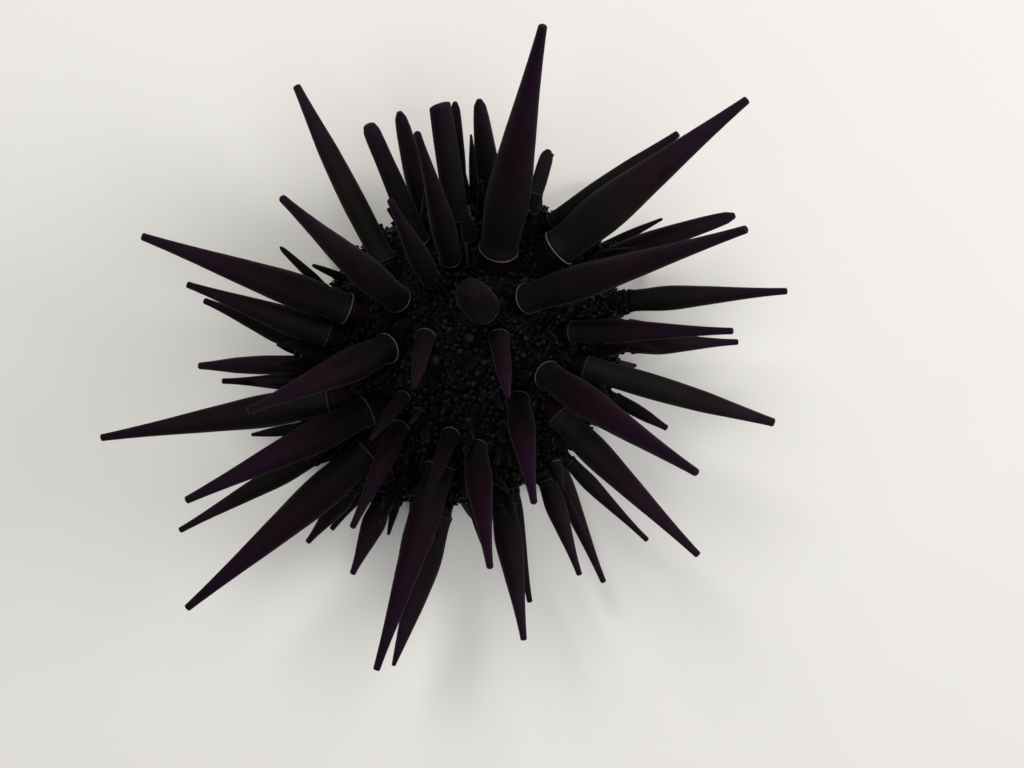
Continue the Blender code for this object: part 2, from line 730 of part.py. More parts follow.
def tooth_mesh(name, more):
    """A tooth that leans in to the middle of the mouth; more widens it into its slot."""
    bm = bmesh.new()
    half = TOOTH_WIDTH / 2 + more
    thick = TOOTH_THICKNESS / 2 + more
    rows = []
    for height, wide, deep, x in (
        (MOUTH_LOW + TOOTH_ROOT + more, half, thick, 0.0),
        (MOUTH_LOW + TOOTH_SHOULDER, half, thick, 0.0),
        (MOUTH_LOW - TOOTH_REACH - more, TOOTH_POINT * half, thick / 2, -TOOTH_LEAN),
    ):
        rows.append(
            [
                bm.verts.new((x + deep, -wide, height)),
                bm.verts.new((x + deep, wide, height)),
                bm.verts.new((x - deep, TOOTH_KEEL * wide, height)),
                bm.verts.new((x - deep, -TOOTH_KEEL * wide, height)),
            ]
        )
    bm.faces.new(rows[0])
    bm.faces.new(rows[-1])
    for one, two in zip(rows, rows[1:]):
        for k in range(4):
            n = (k + 1) % 4
            bm.faces.new((one[k], one[n], two[n], two[k]))
    return mesh_of(bm, name)


def disc_outline():
    """The apical disc from its seat up over its edge to the low vent in the middle."""
    r = APICAL_RADIUS
    low = APEX.z - APICAL_SINK
    high = APEX.z + APICAL_PROUD
    outline = [(0.0, low), (r, low), (r, high - DISC_EDGE), (0.8 * r, high)]
    outline += [(0.45 * r, high - 0.4 * DISC_VENT), (0.0, high + DISC_VENT)]
    return outline


def mouth_outline():
    """The mouth's membrane from the lips out to its rim and up to its ceiling."""
    r = MOUTH_RADIUS
    outline = [(0.0, MOUTH_LOW + LIP_RISE), (0.25 * r, MOUTH_LOW), (0.6 * r, MOUTH_LOW)]
    outline += [(0.9 * r, MOUTH_LOW + 0.5 * RIM_RISE), (r, MOUTH_LOW + RIM_RISE)]
    outline += [(r, MOUTH_CEILING), (0.0, MOUTH_CEILING)]
    return outline


def build_ends(group):
    """The apical disc, the mouth membrane and the five teeth."""
    disc = linked("apical_disc", turned_mesh("apical_disc", disc_outline(), DISC_SIDES), group)
    disc.data.materials.append(material("apical_plates", (0.12, 0.06, 0.08), 0.5))
    mouth = turned_mesh("mouth_membrane", mouth_outline(), MOUTH_SIDES)
    mouth = linked("mouth_membrane", mouth, group)
    mouth.data.materials.append(material("membrane", (0.2, 0.08, 0.08), 0.6))
    enamel = material("tooth", (0.8, 0.78, 0.7), 0.3)
    slots = fresh("slots")
    for k in range(TEETH):
        turn = Matrix.Rotation(2 * math.pi * (k + 0.5) / TEETH, 4, "Z")
        place = turn @ Matrix.Translation((TOOTH_PLACE, 0.0, 0.0))
        name = "tooth_%d" % (k + 1)
        tooth = linked(name, tooth_mesh(name, 0.0), group)
        tooth.data.transform(place)
        tooth.data.materials.append(enamel)
        slot = tool("slot", tooth_mesh("slot", GAP), slots)
        slot.data.transform(place)
    with_boolean(mouth, "DIFFERENCE", slots)


def centre(group):
    """Move everything so that the box's middle stands over the origin."""
    points = [v.co for item in group.objects for v in item.data.vertices]
    x = (min(p.x for p in points) + max(p.x for p in points)) / 2
    y = (min(p.y for p in points) + max(p.y for p in points)) / 2
    for item in group.objects:
        item.data.transform(Matrix.Translation((-x, -y, 0.0)))


def main():
    clear_scene()
    group = bpy.data.collections.new("oblong_sea_urchin")
    bpy.context.scene.collection.children.link(group)
    build_rays(group, lay_out())
    build_ends(group)
    centre(group)


main()
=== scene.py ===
"""Dresses the oblong sea urchin: skin, spines, collars, small spines, disc, mouth and light."""

import math
import random

import bmesh
import bpy
import numpy as np
from mathutils import Matrix, Vector, noise
from mathutils.kdtree import KDTree


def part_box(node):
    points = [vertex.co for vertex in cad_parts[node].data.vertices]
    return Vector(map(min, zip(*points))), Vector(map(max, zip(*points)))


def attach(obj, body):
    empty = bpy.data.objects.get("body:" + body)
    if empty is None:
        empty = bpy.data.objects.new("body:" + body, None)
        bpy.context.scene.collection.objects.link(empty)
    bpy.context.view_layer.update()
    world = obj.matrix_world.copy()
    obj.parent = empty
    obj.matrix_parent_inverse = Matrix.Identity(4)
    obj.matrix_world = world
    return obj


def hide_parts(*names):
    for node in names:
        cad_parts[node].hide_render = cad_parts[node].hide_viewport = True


MM = 0.001

# Test, as in the solids
TEST_LENGTH = 35.0 * MM
TEST_WIDTH = 30.0 * MM
LONG_AXIS_AZIMUTH = math.radians(40)
AMBITUS_HEIGHT = 12.0 * MM
CROWN_RISE = 10.5 * MM
BASE_DROP = 8.0 * MM
RAY_EDGES = tuple(math.radians(a) for a in (28.0, 116.0, 188.5, 248.0, 319.3))
LEVEL_CUT_HEIGHT = 10.4 * MM
GAP = 0.3 * MM
APICAL_RADIUS = 2.7 * MM
APICAL_PROUD = 0.35 * MM
MOUTH_RADIUS = 5.6 * MM
MOUTH_PROUD = 0.5 * MM
TOOTH_REACH = 2.0 * MM
TEETH = 5

# Layout of the spines, as in the solids
RING_HEIGHT_SHARE = 0.95
RING_LIFT = 0.3 * MM
RING_THICKNESS_SHARE = 0.3
BALL_SHARE = 0.75
NECK_SHARE = 0.52
BOSS_FOOT_SHARE = 0.8
BOSS_TOP_SHARE = 0.55
SINK = 1.2 * MM
CLEARANCE = 0.35 * MM
CUT_CLEARANCE = 0.22 * MM
SAMPLE_STEP = 0.6 * MM
MIN_GIRTH = 0.55 * MM
FLOOR_CLEARANCE = 0.6 * MM
BALL_DEPTH_SHARE = 0.4
BALL_FOOT_SHARE = 0.3
BOSS_RISE_SHARE = 0.1
THIN_GIRTH = 1.2 * MM
MARCH_STEP = 0.05 * MM
MARCH_REACH = 20.0 * MM
ROOT_REACH = 6.0 * MM
BASE_ZONE = 3.0 * MM
RIM_SAMPLES = 12
COVER_SAMPLES = 6
LIFTS = (0, -1, 1, -2, 2, -3, 3, -4, 4)
SHIFTS = tuple((x, y) for x in (-8, -4, 0, 4, 8) for y in (-8, -4, 0, 4, 8))
PIXEL_WEIGHT = 0.35
PIXEL_LIFT = 0.2 * MM
AZIMUTH_STEPS = 720
ALONG_WEIGHT = 0.02
ATTEMPTS = 60
POLAR_SPREAD = 5.0
FOOT_SLOPE = -0.15
FOOT_REACH = 1.6
RANDOM_SEED = 29

TAPERED = ((0.0, 1.0), (0.03, 0.92), (0.24, 1.06), (0.5, 0.8), (0.74, 0.48), (1.0, 0.15))
SWOLLEN = ((0.0, 1.0), (0.03, 0.95), (0.3, 1.22), (0.52, 1.0), (0.76, 0.6), (1.0, 0.17))
BLUNT = ((0.0, 1.0), (0.03, 0.92), (0.25, 1.05), (0.65, 0.84), (0.94, 0.55), (1.0, 0.3))
EGG = ((0.0, 1.0), (0.05, 0.97), (0.4, 0.98), (0.72, 0.87), (0.92, 0.62), (1.0, 0.34))
ROUNDED = ((0.0, 1.0), (0.03, 0.94), (0.2, 1.04), (0.7, 0.96), (0.95, 0.8), (1.0, 0.5))
CUT_OFF = ((0.0, 1.0), (0.03, 0.94), (0.2, 1.04), (0.7, 0.98), (1.0, 0.9))
SLIM = ((0.0, 1.0), (0.05, 0.88), (0.5, 0.7), (1.0, 0.22))
SHORT = ((0.0, 1.0), (0.38, 0.95), (1.0, 0.24))
STUB = ((0.0, 1.0), (0.6, 0.8), (1.0, 0.4))
FOOT = ((0.0, 1.0), (0.35, 0.92), (1.0, 0.45))
STRAIGHT = ((0.0, 1.0), (0.03, 0.95), (0.3, 1.0), (0.6, 0.84), (0.8, 0.56), (1.0, 0.24))
FLAT_END = ((0.0, 1.0), (0.03, 0.94), (0.3, 1.0), (0.7, 0.84), (0.96, 0.76), (1.0, 0.6))
EVEN = ((0.0, 1.0), (0.03, 0.94), (0.3, 1.0), (0.75, 0.96), (0.93, 0.8), (1.0, 0.45))

PHOTO_WIDTH = 1024
PHOTO_HEIGHT = 768
FIELD_OF_VIEW = math.radians(40)
VIEW_TILT = math.radians(10)
APEX_PIXEL = (460, 368)
APEX_DISTANCE = 137.0 * MM
FOCAL_PIXELS = PHOTO_WIDTH / 2 / math.tan(FIELD_OF_VIEW / 2)
VIEW_BACK = Vector((0.0, math.sin(VIEW_TILT), math.cos(VIEW_TILT)))
VIEW_UP = Vector((0.0, math.cos(VIEW_TILT), -math.sin(VIEW_TILT)))
VIEW_RIGHT = Vector((1.0, 0.0, 0.0))
APEX = Vector((0.0, 0.0, AMBITUS_HEIGHT + CROWN_RISE))
METRES_PER_PIXEL = APEX_DISTANCE / FOCAL_PIXELS
VIEWPOINT = (
    APEX
    + APEX_DISTANCE * VIEW_BACK
    - (APEX_PIXEL[0] - PHOTO_WIDTH / 2) * METRES_PER_PIXEL * VIEW_RIGHT
    + (APEX_PIXEL[1] - PHOTO_HEIGHT / 2) * METRES_PER_PIXEL * VIEW_UP
)
CORE_PIXEL = (455, 350)
CORE_PIXELS = 165
COVER_PIXELS = 1

# Spines in sight: ring pixel, tip pixel, tip height mm, ring width mm, form
IN_SIGHT = (
    ((499, 247), (543, 25), 37.0, 3.9, TAPERED),
    ((457, 217), (440, 107), 22.0, 2.3, CUT_OFF),
    ((450, 257), (417, 133), 40.0, 2.25, TAPERED),
    ((419, 240), (372, 124), 25.0, 2.3, ROUNDED),
    ((431, 283), (390, 200), 35.0, 2.1, TAPERED),
    ((384, 260), (298, 84), 18.0, 2.8, TAPERED),
    ((396, 298), (282, 198), 43.0, 2.9, TAPERED),
    ((345, 308), (141, 236), 27.0, 3.2, TAPERED),
    ((330, 335), (186, 284), 22.0, 2.6, TAPERED),
    ((385, 349), (248, 411), 38.0, 3.1, TAPERED),
    ((326, 401), (100, 438), 23.0, 3.1, TAPERED),
    ((365, 412), (185, 501), 31.0, 3.2, TAPERED),
    ((366, 453), (186, 609), 27.0, 3.4, TAPERED),
    ((399, 428), (352, 528), 33.0, 2.0, TAPERED),
    ((402, 398), (370, 440), 31.0, 1.6, SLIM),
    ((440, 467), (376, 671), 28.0, 3.0, TAPERED),
    ((446, 440), (430, 488), 31.0, 1.95, SLIM),
    ((476, 450), (490, 568), 37.0, 2.5, TAPERED),
    ((518, 406), (534, 503), 37.0, 2.5, TAPERED),
    ((560, 417), (699, 556), 28.0, 2.8, TAPERED),
    ((549, 376), (697, 473), 44.0, 3.0, TAPERED),
    ((588, 368), (774, 422), 26.0, 2.8, TAPERED),
    ((573, 331), (734, 331), 28.0, 2.2, TAPERED),
    ((529, 298), (747, 229), 42.0, 3.1, TAPERED),
    ((560, 247), (748, 99), 26.0, 3.9, TAPERED),
    ((553, 224), (677, 133), 20.0, 2.2, TAPERED),
    ((481, 306), (467, 290), 31.0, 3.5, EGG),
    ((425, 338), (414, 388), 31.0, 2.1, SLIM),
    ((499, 335), (508, 398), 32.0, 2.2, SLIM),
)

# Spines with a hidden root: tip pixel, pixel it points from, ring and tip height, width
UNDER_COVER = (
    ((479, 99), (492, 205), 14.5, 20.0, 2.2, BLUNT),
    ((471, 133), (476, 222), 12.6, 15.0, 1.1, SLIM),
    ((454, 101), (463, 200), 13.5, 18.0, 1.7, TAPERED),
    ((398, 111), (430, 230), 14.5, 19.0, 2.1, TAPERED),
    ((279, 245), (350, 298), 14.0, 17.0, 1.8, TAPERED),
    ((203, 300), (320, 350), 16.2, 16.5, 2.2, TAPERED),
    ((275, 344), (322, 356), 11.5, 12.0, 1.3, SLIM),
    ((198, 364), (345, 356), 13.9, 12.5, 2.0, TAPERED),
    ((221, 381), (330, 382), 8.6, 9.0, 1.9, TAPERED),
    ((250, 435), (330, 425), 13.0, 14.5, 1.6, SLIM),
    ((179, 531), (345, 437), 13.5, 14.5, 2.3, TAPERED),
    ((307, 543), (367, 468), 14.0, 14.0, 2.2, TAPERED),
    ((331, 530), (377, 468), 8.0, 7.0, 1.9, TAPERED),
    ((352, 575), (395, 470), 14.0, 15.5, 2.4, TAPERED),
    ((388, 536), (402, 475), 8.0, 7.0, 1.6, SLIM),
    ((393, 667), (455, 470), 14.0, 17.0, 2.5, SWOLLEN),
    ((524, 641), (495, 450), 14.5, 19.0, 2.8, TAPERED),
    ((530, 603), (505, 465), 8.2, 8.0, 2.0, TAPERED),
    ((580, 576), (533, 440), 14.0, 17.0, 2.1, TAPERED),
    ((604, 583), (553, 460), 8.2, 8.0, 2.2, TAPERED),
    ((647, 540), (548, 440), 13.5, 13.0, 1.8, TAPERED),
    ((667, 427), (600, 388), 13.6, 15.0, 1.7, BLUNT),
    ((739, 342), (585, 345), 13.0, 13.0, 2.1, TAPERED),
    ((788, 291), (600, 302), 14.5, 21.0, 2.4, TAPERED),
    ((710, 290), (600, 305), 8.2, 9.0, 1.8, TAPERED),
    ((733, 212), (585, 262), 13.5, 15.0, 2.3, BLUNT),
    ((661, 219), (588, 256), 8.4, 9.0, 1.4, SLIM),
    ((546, 150), (527, 238), 13.0, 12.0, 1.9, TAPERED),
)

# Rule for the rest: polar angle, count, mm long, ring width mm, droop, feet, form
TIERS = (
    (60, 15, 4.5, 0.9, 0.2, False, STUB),
    (80, 17, 5.5, 1.1, 0.0, False, STUB),
    (116, 22, 9.0, 1.9, -0.25, False, SHORT),
    (129, 20, 7.0, 1.8, -0.4, True, FOOT),
    (143, 15, 6.0, 1.6, -0.3, True, FOOT),
)
FILL = ((22, 8, 3.5), (32, 10, 4.0), (44, 12, 4.5))

# For each spine in sight: how violet from 0 to 1, how much lighter or darker it is painted than the rest
# (painted light and shade), how pale its ring
SPINE_TINTS_AND_PAINTED_LIGHT = (
    (0.6, 1.15, 1.0), (0.0, 0.8, 0.03), (0.3, 1.0, 0.75), (0.1, 1.1, 0.45), (0.0, 1.0, 0.1),
    (0.35, 1.2, 0.03), (0.2, 1.0, 1.0), (0.6, 1.0, 0.6), (0.3, 0.95, 0.03), (0.85, 0.74, 0.85),
    (0.4, 0.66, 0.02), (1.0, 0.66, 0.12), (0.95, 0.6, 0.1), (0.7, 0.7, 0.25), (0.3, 0.7, 0.4),
    (0.95, 0.68, 0.1), (0.5, 0.75, 0.4), (0.9, 1.0, 0.35), (0.95, 1.1, 0.4), (0.55, 1.3, 0.05),
    (0.75, 1.2, 1.0), (0.1, 1.35, 0.05), (0.5, 1.3, 0.2), (0.35, 1.25, 1.0), (0.5, 1.25, 1.0),
    (0.2, 1.3, 0.05), (0.5, 1.0, 0.6), (0.65, 1.1, 0.55), (0.8, 1.15, 0.45),
)

# Shafts that the picture shows otherwise: number, root and tip moved by pixels, girth share, form
FITTED = (
    (3, (0, 0), (-3, 1), 0.9, FLAT_END),
    (5, (0, 0), (-2, 1), 0.86, STRAIGHT),
    (21, (0, 0), (1, 1), 0.9, STRAIGHT),
    (25, (0, 2), (2, 0), 0.86, STRAIGHT),
    (31, (0, 0), (1, 0), 1.0, BLUNT),
    (32, (0, 0), (1, 0), 1.0, BLUNT),
    (33, (0, 9), (0, 1), 0.52, BLUNT),
    (36, (0, 6), (0, 2), 1.0, STRAIGHT),
    (49, (0, 0), (1, 1), 0.88, TAPERED),
    (50, (0, 2), (1, 2), 0.85, STRAIGHT),
    (52, (0, 1), (0, 0), 1.0, TAPERED),
    (54, (0, 2), (3, 3), 0.95, BLUNT),
    (55, (0, 0), (3, -1), 1.0, SLIM),
    (56, (0, 0), (3, -1), 0.8, EVEN),
)

# Knobs in sight: pixel, width mm, height mm, tone; small spines: pixel, width mm, length mm
KNOBS_SEEN = (
    ((469, 338), 1.15, 0.9, 0.90),
    ((436, 359), 1.2, 1.3, 0.74),
    ((456, 345), 0.28, 0.5, 1.0),
    ((492, 377), 0.36, 0.5, 1.0),
    ((490, 386), 0.26, 0.4, 1.0),
    ((524, 338), 0.55, 0.8, 0.97),
    ((532, 404), 0.30, 0.4, 1.0),
    ((482, 351), 0.50, 0.5, 0.80),
)
FEET_SEEN = (((468, 268), (466, 243)), ((474, 234), (468, 206)), ((471, 240), (473, 218)))
SHORTS_SEEN = (
    ((492, 396), 0.9, 2.4),
    ((470, 419), 0.9, 2.6),
    ((421, 410), 0.9, 2.2),
    ((446, 402), 0.7, 1.8),
    ((505, 300), 0.8, 1.8),
    ((447, 292), 0.8, 1.8),
)

# Fine forms of the dress: sizes, counts and the mesh's density
FIFTH = 2 * math.pi / 5
PICTURED = len(IN_SIGHT) + len(UNDER_COVER)
MOUTH_LOW = AMBITUS_HEIGHT - BASE_DROP - MOUTH_PROUD + 0.6 * MM
TIP_INSET = 0.22 * MM
TIP_SHARE = 0.13
TIP_LEAST = 0.27 * MM
# Where a shaft starts inside its ring: distance and radius as shares of the ring's radius
SHAFT_FOOT = ((-0.75, 0.5), (-0.5, 0.58), (-0.3, 0.84), (-0.14, 0.93))
STATION_POWER = 1.15
CREST = 0.010
CREST_ZONE = (0.02, 0.97)
UNEVEN = 0.012
SHAFT_BEND = 0.006
RIDGE_STEP = 0.17 * MM
EGG_COLOUR_REACH = 0.24
FLAT_BELOW = 0.02 * MM
END_TURNS = np.radians([14, 28, 42, 56, 70, 82])
ROUND_END = (0.5 * np.sin(END_TURNS), np.cos(END_TURNS) ** 0.7)
CUT_END = np.array(((0.0, 0.05, 0.08, 0.08, 0.04, 0.02), (1.0, 0.97, 0.9, 0.8, 0.55, 0.2)))
CUT_START = 0.9
CUT_SLOPE = 0.17
CUT_BACK = 0.62
CUT_OUT = 0.4
RING_TOOTH = 0.2 * MM
RING_BAND = 0.15 * MM
RING_LEAST_GIRTH = 1.0 * MM
TOOTH_CUT = 0.045
COLLAR_ROOT = 0.25 * MM
FIBRE_STEP = 0.22 * MM
SKIN_INSET = 0.12 * MM
SKIN_COLUMNS = 360
SKIN_ROWS = 165
MOUND_SEARCH = 3.2 * MM
COARSE_NOISE = 900.0
FINE_NOISE = 1500.0
FINEST_NOISE = 2300.0
MOUND_REACH = 1.45
MOUND_RISE = 0.35
PATCH = 0.003
ROOM_HEIGHT = 0.2 * MM
NEIGHBOURS = [(x, y, z) for x in range(-2, 3) for y in range(-2, 3) for z in range(-2, 3)]
SECONDARY_SPACING = 1.25 * MM
SECONDARY_ZONE = (math.radians(13), math.radians(157))
GRANULE_SPACING = 0.6 * MM
GRANULE_ZONE = (math.radians(1), math.radians(78))
LOW_GRANULE_SPACING = 0.74 * MM
LOW_GRANULE_ZONE = (math.radians(78), math.radians(158))
GRANULE_ROOM = 0.12 * MM
DISC_LIFT = 0.22 * MM
FILLING_SPACING = 2.4 * MM
FILLING_ZONE = (math.radians(47), math.radians(140))
FILLING_ROOM = 0.8 * MM
FILLING_CLEARANCE = 1.2 * MM
FILLING_STATIONS = (0.3, 0.5, 0.7, 0.85, 1.0)
ROOM_SOUGHT = 1.7 * MM
SLIM_GAP = 0.12 * MM
FEELER_COUNT = 90
FEELER_STATIONS = (0.1, 0.3, 0.5, 0.7, 0.85, 1.0)
FOOT_RINGS = 14
LOWEST_FORM = 0.05 * MM
BUCCAL_OUT = 3.3 * MM
DRAWN_SEED = 7

# For each kind of spine: sides and stations, or mesh points for each tooth
SHAFT_MESH = {"seen": (56, 40), "under": (30, 22), "short": (16, 12)}
COLLAR_MESH = {"seen": (64, 9), "under": (36, 6), "short": (14, 4)}
RING_MESH = {"seen": 4, "under": 3, "short": 2}

# Across a ring from its lower edge to its upper one: offset, radius, how deep the teeth cut
RING_ROWS = (
    (-1.1, 0.80, 0.0),
    (-1.0, 0.92, 0.2),
    (-0.85, 0.985, 0.8),
    (-0.6, 1.01, 1.0),
    (-0.35, 1.005, 1.0),
    (-0.1, 0.975, 0.7),
    (0.1, 0.93, 0.1),
    (0.15, 0.86, 0.0),
)

# Small forms from root to tip: mm, share of the length to add, radius as a share of the form's own
KNOB_STALK_ROWS = ((-0.9, 0, 0.6), (0, 0, 0.7), (0, 0.5, 0.95))
SHORT_SEEN_ROWS = (
    (-0.8, 0, 0.8), (0.02, 0, 0.9), (0.1, 0, 1.12), (0.22, 0, 1.12), (0.34, 0, 0.95),
    (0, 0.5, 0.92), (0, 0.8, 0.7), (0, 0.95, 0.42), (0, 1, 0.15),
)
SHORT_ROWS = (
    (-0.25, 0, 1.5), (0.12, 0, 1.45), (0.2, 0, 1.75), (0.3, 0, 1.6), (0.36, 0, 1.0),
    (0, 0.45, 1.12), (0, 0.8, 0.85), (0, 0.96, 0.55), (0, 1, 0.2),
)
GRANULE_ROWS = (
    (-0.2, 0, 0.7), (0, 0.45, 0.55), (0, 0.62, 0.95), (0, 0.82, 1.0), (0, 0.95, 0.7), (0, 1, 0.2),
)
FOOT_SEEN_ROWS = (
    (0, -0.1, 0.17), (0, 0.15, 0.17), (0, 0.4, 0.17), (0, 0.65, 0.17), (0, 0.85, 0.17),
    (0, 0.95, 0.24), (0, 1, 0.2),
)
SUCKER_ROWS = ((0, 1, 0.85), (0.08, 1, 1.15), (0.16, 1, 1.25), (0.24, 1, 1.1), (0.22, 1, 0.6))
BUCCAL_ROWS = (
    (-0.3, 0, 0.34), (0.5, 0, 0.3), (1.0, 0, 0.26), (1.15, 0, 0.42), (1.32, 0, 0.46),
    (1.42, 0, 0.38), (1.4, 0, 0.15),
)
GILL_ROWS = ((-0.3, 0, 0.12), (0, 0.5, 0.12), (0, 0.8, 0.19), (0, 0.95, 0.14), (0, 1, 0.04))

# Colours, linear; the ramps run from base to tip
SHAFT_BRIGHT = (
    (0.0, (0.0050, 0.0046, 0.0040)),
    (0.12, (0.0050, 0.0046, 0.0040)),
    (0.30, (0.0080, 0.0030, 0.0038)),
    (0.52, (0.0116, 0.0028, 0.0082)),
    (0.76, (0.0126, 0.0030, 0.0122)),
    (1.0, (0.0094, 0.0050, 0.0102)),
)
SHAFT_DULL = (
    (0.0, (0.0048, 0.0050, 0.0045)),
    (0.16, (0.0048, 0.0050, 0.0045)),
    (0.34, (0.0056, 0.0050, 0.0047)),
    (0.56, (0.0068, 0.0052, 0.0052)),
    (0.78, (0.0088, 0.0058, 0.0080)),
    (1.0, (0.0094, 0.0050, 0.0102)),
)
KNOB_HEADS = (
    (0.0, (0.0028, 0.0024, 0.0028)),
    (0.42, (0.0040, 0.0032, 0.0038)),
    (0.62, (0.0054, 0.0034, 0.0034)),
    (0.78, (0.0044, 0.0044, 0.0028)),
    (0.90, (0.0022, 0.0046, 0.0045)),
    (1.0, (0.0170, 0.0105, 0.0075)),
)
KNOB_STALK = (0.0022, 0.0018, 0.0020)
FOOT_BODY = (
    (0.0, (0.0020, 0.0014, 0.0018)),
    (0.7, (0.0034, 0.0022, 0.0030)),
    (0.93, (0.0042, 0.0034, 0.0042)),
    (1.0, (0.0080, 0.0062, 0.0070)),
)
FOOT_DARK = (0.0022, 0.0020, 0.0032)
FOOT_BLUE = (0.0105, 0.0105, 0.0135)
CUT_TAN = (0.060, 0.034, 0.026)
RING_PALE = (0.310, 0.262, 0.256)
RING_GROOVE = (0.0072, 0.0054, 0.0054)
MUSCLE_RED = (0.0066, 0.0025, 0.0020)
MUSCLE_DARK = (0.0014, 0.0011, 0.0011)
SKIN_DARK = (0.0017, 0.0016, 0.0017)
SKIN_BROWN = (0.0045, 0.0029, 0.0026)
DISC_DARK = (0.0014, 0.0012, 0.0013)
DISC_BROWN = (0.0044, 0.0027, 0.0024)
MEMBRANE_DARK = (0.018, 0.010, 0.012)
MEMBRANE_RED = (0.060, 0.026, 0.024)
SHORT_FOOT = (0.0022, 0.0017, 0.0017)
SHORT_GREY = (0.0045, 0.0036, 0.0036)
SHORT_RIM = (0.0125, 0.0108, 0.0105)
SHORT_VIOLET = (0.0062, 0.0022, 0.0048)
TEAL = (0.0030, 0.0085, 0.0078)
OLIVE = (0.0060, 0.0056, 0.0030)
ENAMEL_STAINED = (0.72, 0.66, 0.52)
ENAMEL = (0.86, 0.84, 0.78)
FLOOR_PALE = (0.76, 0.745, 0.71)
FLOOR_DIM = tuple(0.93 * c for c in FLOOR_PALE)

# Lights: name, place, size, power, colour
LIGHTS = (
    ("key", (-0.10, 0.30, 0.42), 0.16, 1.5, (1.0, 0.98, 0.95)),
    ("front", (0.10, -0.05, 0.50), 0.30, 0.8, (0.96, 0.98, 1.0)),
    ("side", (0.42, 0.08, 0.22), 0.25, 1.3, (1.0, 0.97, 0.96)),
)


def around(azimuth, reach=1.0, height=0.0):
    """Point at an azimuth, a reach from the axis and a height."""
    return Vector((reach * math.cos(azimuth), reach * math.sin(azimuth), height))


def ellipse_radius(azimuth):
    """Radius of the test's outline at the ambitus."""
    turn = azimuth - LONG_AXIS_AZIMUTH
    along = math.cos(turn) / (TEST_LENGTH / 2)
    across = math.sin(turn) / (TEST_WIDTH / 2)
    return 1.0 / math.hypot(along, across)


def on_test(azimuth, polar):
    """Point of the test, polar 0 at the apex and pi at the mouth."""
    reach = ellipse_radius(azimuth) * math.sin(polar)
    drop = CROWN_RISE if polar < math.pi / 2 else BASE_DROP
    return around(azimuth, reach, AMBITUS_HEIGHT + drop * math.cos(polar))


def test_gradient(p):
    """Size of p as a share of the test's, and the outward gradient there."""
    long_dir = around(LONG_AXIS_AZIMUTH)
    wide_dir = Vector((-long_dir.y, long_dir.x, 0.0))
    rise = p.z - AMBITUS_HEIGHT
    c = CROWN_RISE if rise > 0 else BASE_DROP
    a = TEST_LENGTH / 2
    b = TEST_WIDTH / 2
    x = p.dot(long_dir)
    y = p.dot(wide_dir)
    size = max(math.sqrt((x / a) ** 2 + (y / b) ** 2 + (rise / c) ** 2), 1e-6)
    gradient = long_dir * (x / a**2) + wide_dir * (y / b**2) + Vector((0.0, 0.0, rise / c**2))
    return size, gradient / size


def height_over_test(p):
    """How far p lies outside the test, negative inside it."""
    size, gradient = test_gradient(p)
    return (size - 1.0) / gradient.length


def outward(p):
    """Unit normal of the test nearest to p."""
    return test_gradient(p)[1].normalized()


def sight_line(pixel):
    """Direction from the camera through a pixel."""
    across = (pixel[0] - PHOTO_WIDTH / 2) / FOCAL_PIXELS
    down = (pixel[1] - PHOTO_HEIGHT / 2) / FOCAL_PIXELS
    return across * VIEW_RIGHT - down * VIEW_UP - VIEW_BACK


def seen_at(p):
    """Pixel at which a point is seen."""
    away = p - VIEWPOINT
    depth = -away.dot(VIEW_BACK)
    x = PHOTO_WIDTH / 2 + FOCAL_PIXELS * away.dot(VIEW_RIGHT) / depth
    y = PHOTO_HEIGHT / 2 - FOCAL_PIXELS * away.dot(VIEW_UP) / depth
    return x, y


def at_height(pixel, height):
    """Point at a height that is seen at a pixel."""
    line = sight_line(pixel)
    return VIEWPOINT + line * ((height - VIEWPOINT.z) / line.z)


def ring_in_sight(pixel, height):
    """First point of a pixel's sight line that is this near to the test."""
    line = sight_line(pixel)
    near = APEX_DISTANCE - MARCH_REACH
    far = APEX_DISTANCE + MARCH_REACH
    while height_over_test(VIEWPOINT + line * near) > height and near < far:
        near += MARCH_STEP
    return VIEWPOINT + line * near


def ring_under_cover(tip, toward, ring_height, over):
    """Point of the flank at a height, in line with two pixels and on the tip's side."""
    run = Vector((toward[0] - tip[0], toward[1] - tip[1])).normalized()
    best = None
    rise = (ring_height - AMBITUS_HEIGHT) / (CROWN_RISE + over)
    polar = math.acos(max(-1.0, min(1.0, rise)))
    for step in range(AZIMUTH_STEPS):
        azimuth = 2 * math.pi * step / AZIMUTH_STEPS
        reach = (ellipse_radius(azimuth) + over) * math.sin(polar)
        p = around(azimuth, reach, ring_height)
        x, y = seen_at(p)
        off = Vector((x - tip[0], y - tip[1]))
        aside = abs(off.x * run.y - off.y * run.x)
        score = aside + ALONG_WEIGHT * abs(off.dot(run))
        if off.dot(run) > 0 and (best is None or score < best[0]):
            best = (score, p)
    return best[1]


def shaft_rows(ring, tip, girth, form):
    """Stations of a spine from its ring to its tip: point and radius."""
    way = (tip - ring).normalized()
    length = (tip - ring).length
    half = girth / 2
    rows = [(ring - way * half * RING_THICKNESS_SHARE, half)]
    rows += [(ring + way * length * share, half * width) for share, width in form]
    return rows


def on_boss(ring, tip, girth, form):
    """A leaning spine's own stations, and those of the knob of the test that it turns on."""
    way = (tip - ring).normalized()
    half = girth / 2
    ball = ring - way * half * BALL_SHARE
    seat, up = seat_of(ring, tip, girth)
    shaft = [(ball - way * half * BALL_DEPTH_SHARE, half * BALL_FOOT_SHARE)]
    shaft.append((ball, half * NECK_SHARE))
    shaft += shaft_rows(ring, tip, girth, form)
    boss = [(seat - up * SINK, half * BOSS_FOOT_SHARE), (seat, half * BOSS_FOOT_SHARE)]
    boss.append((ball + up * half * BOSS_RISE_SHARE, half * BOSS_TOP_SHARE))
    return [boss, shaft]


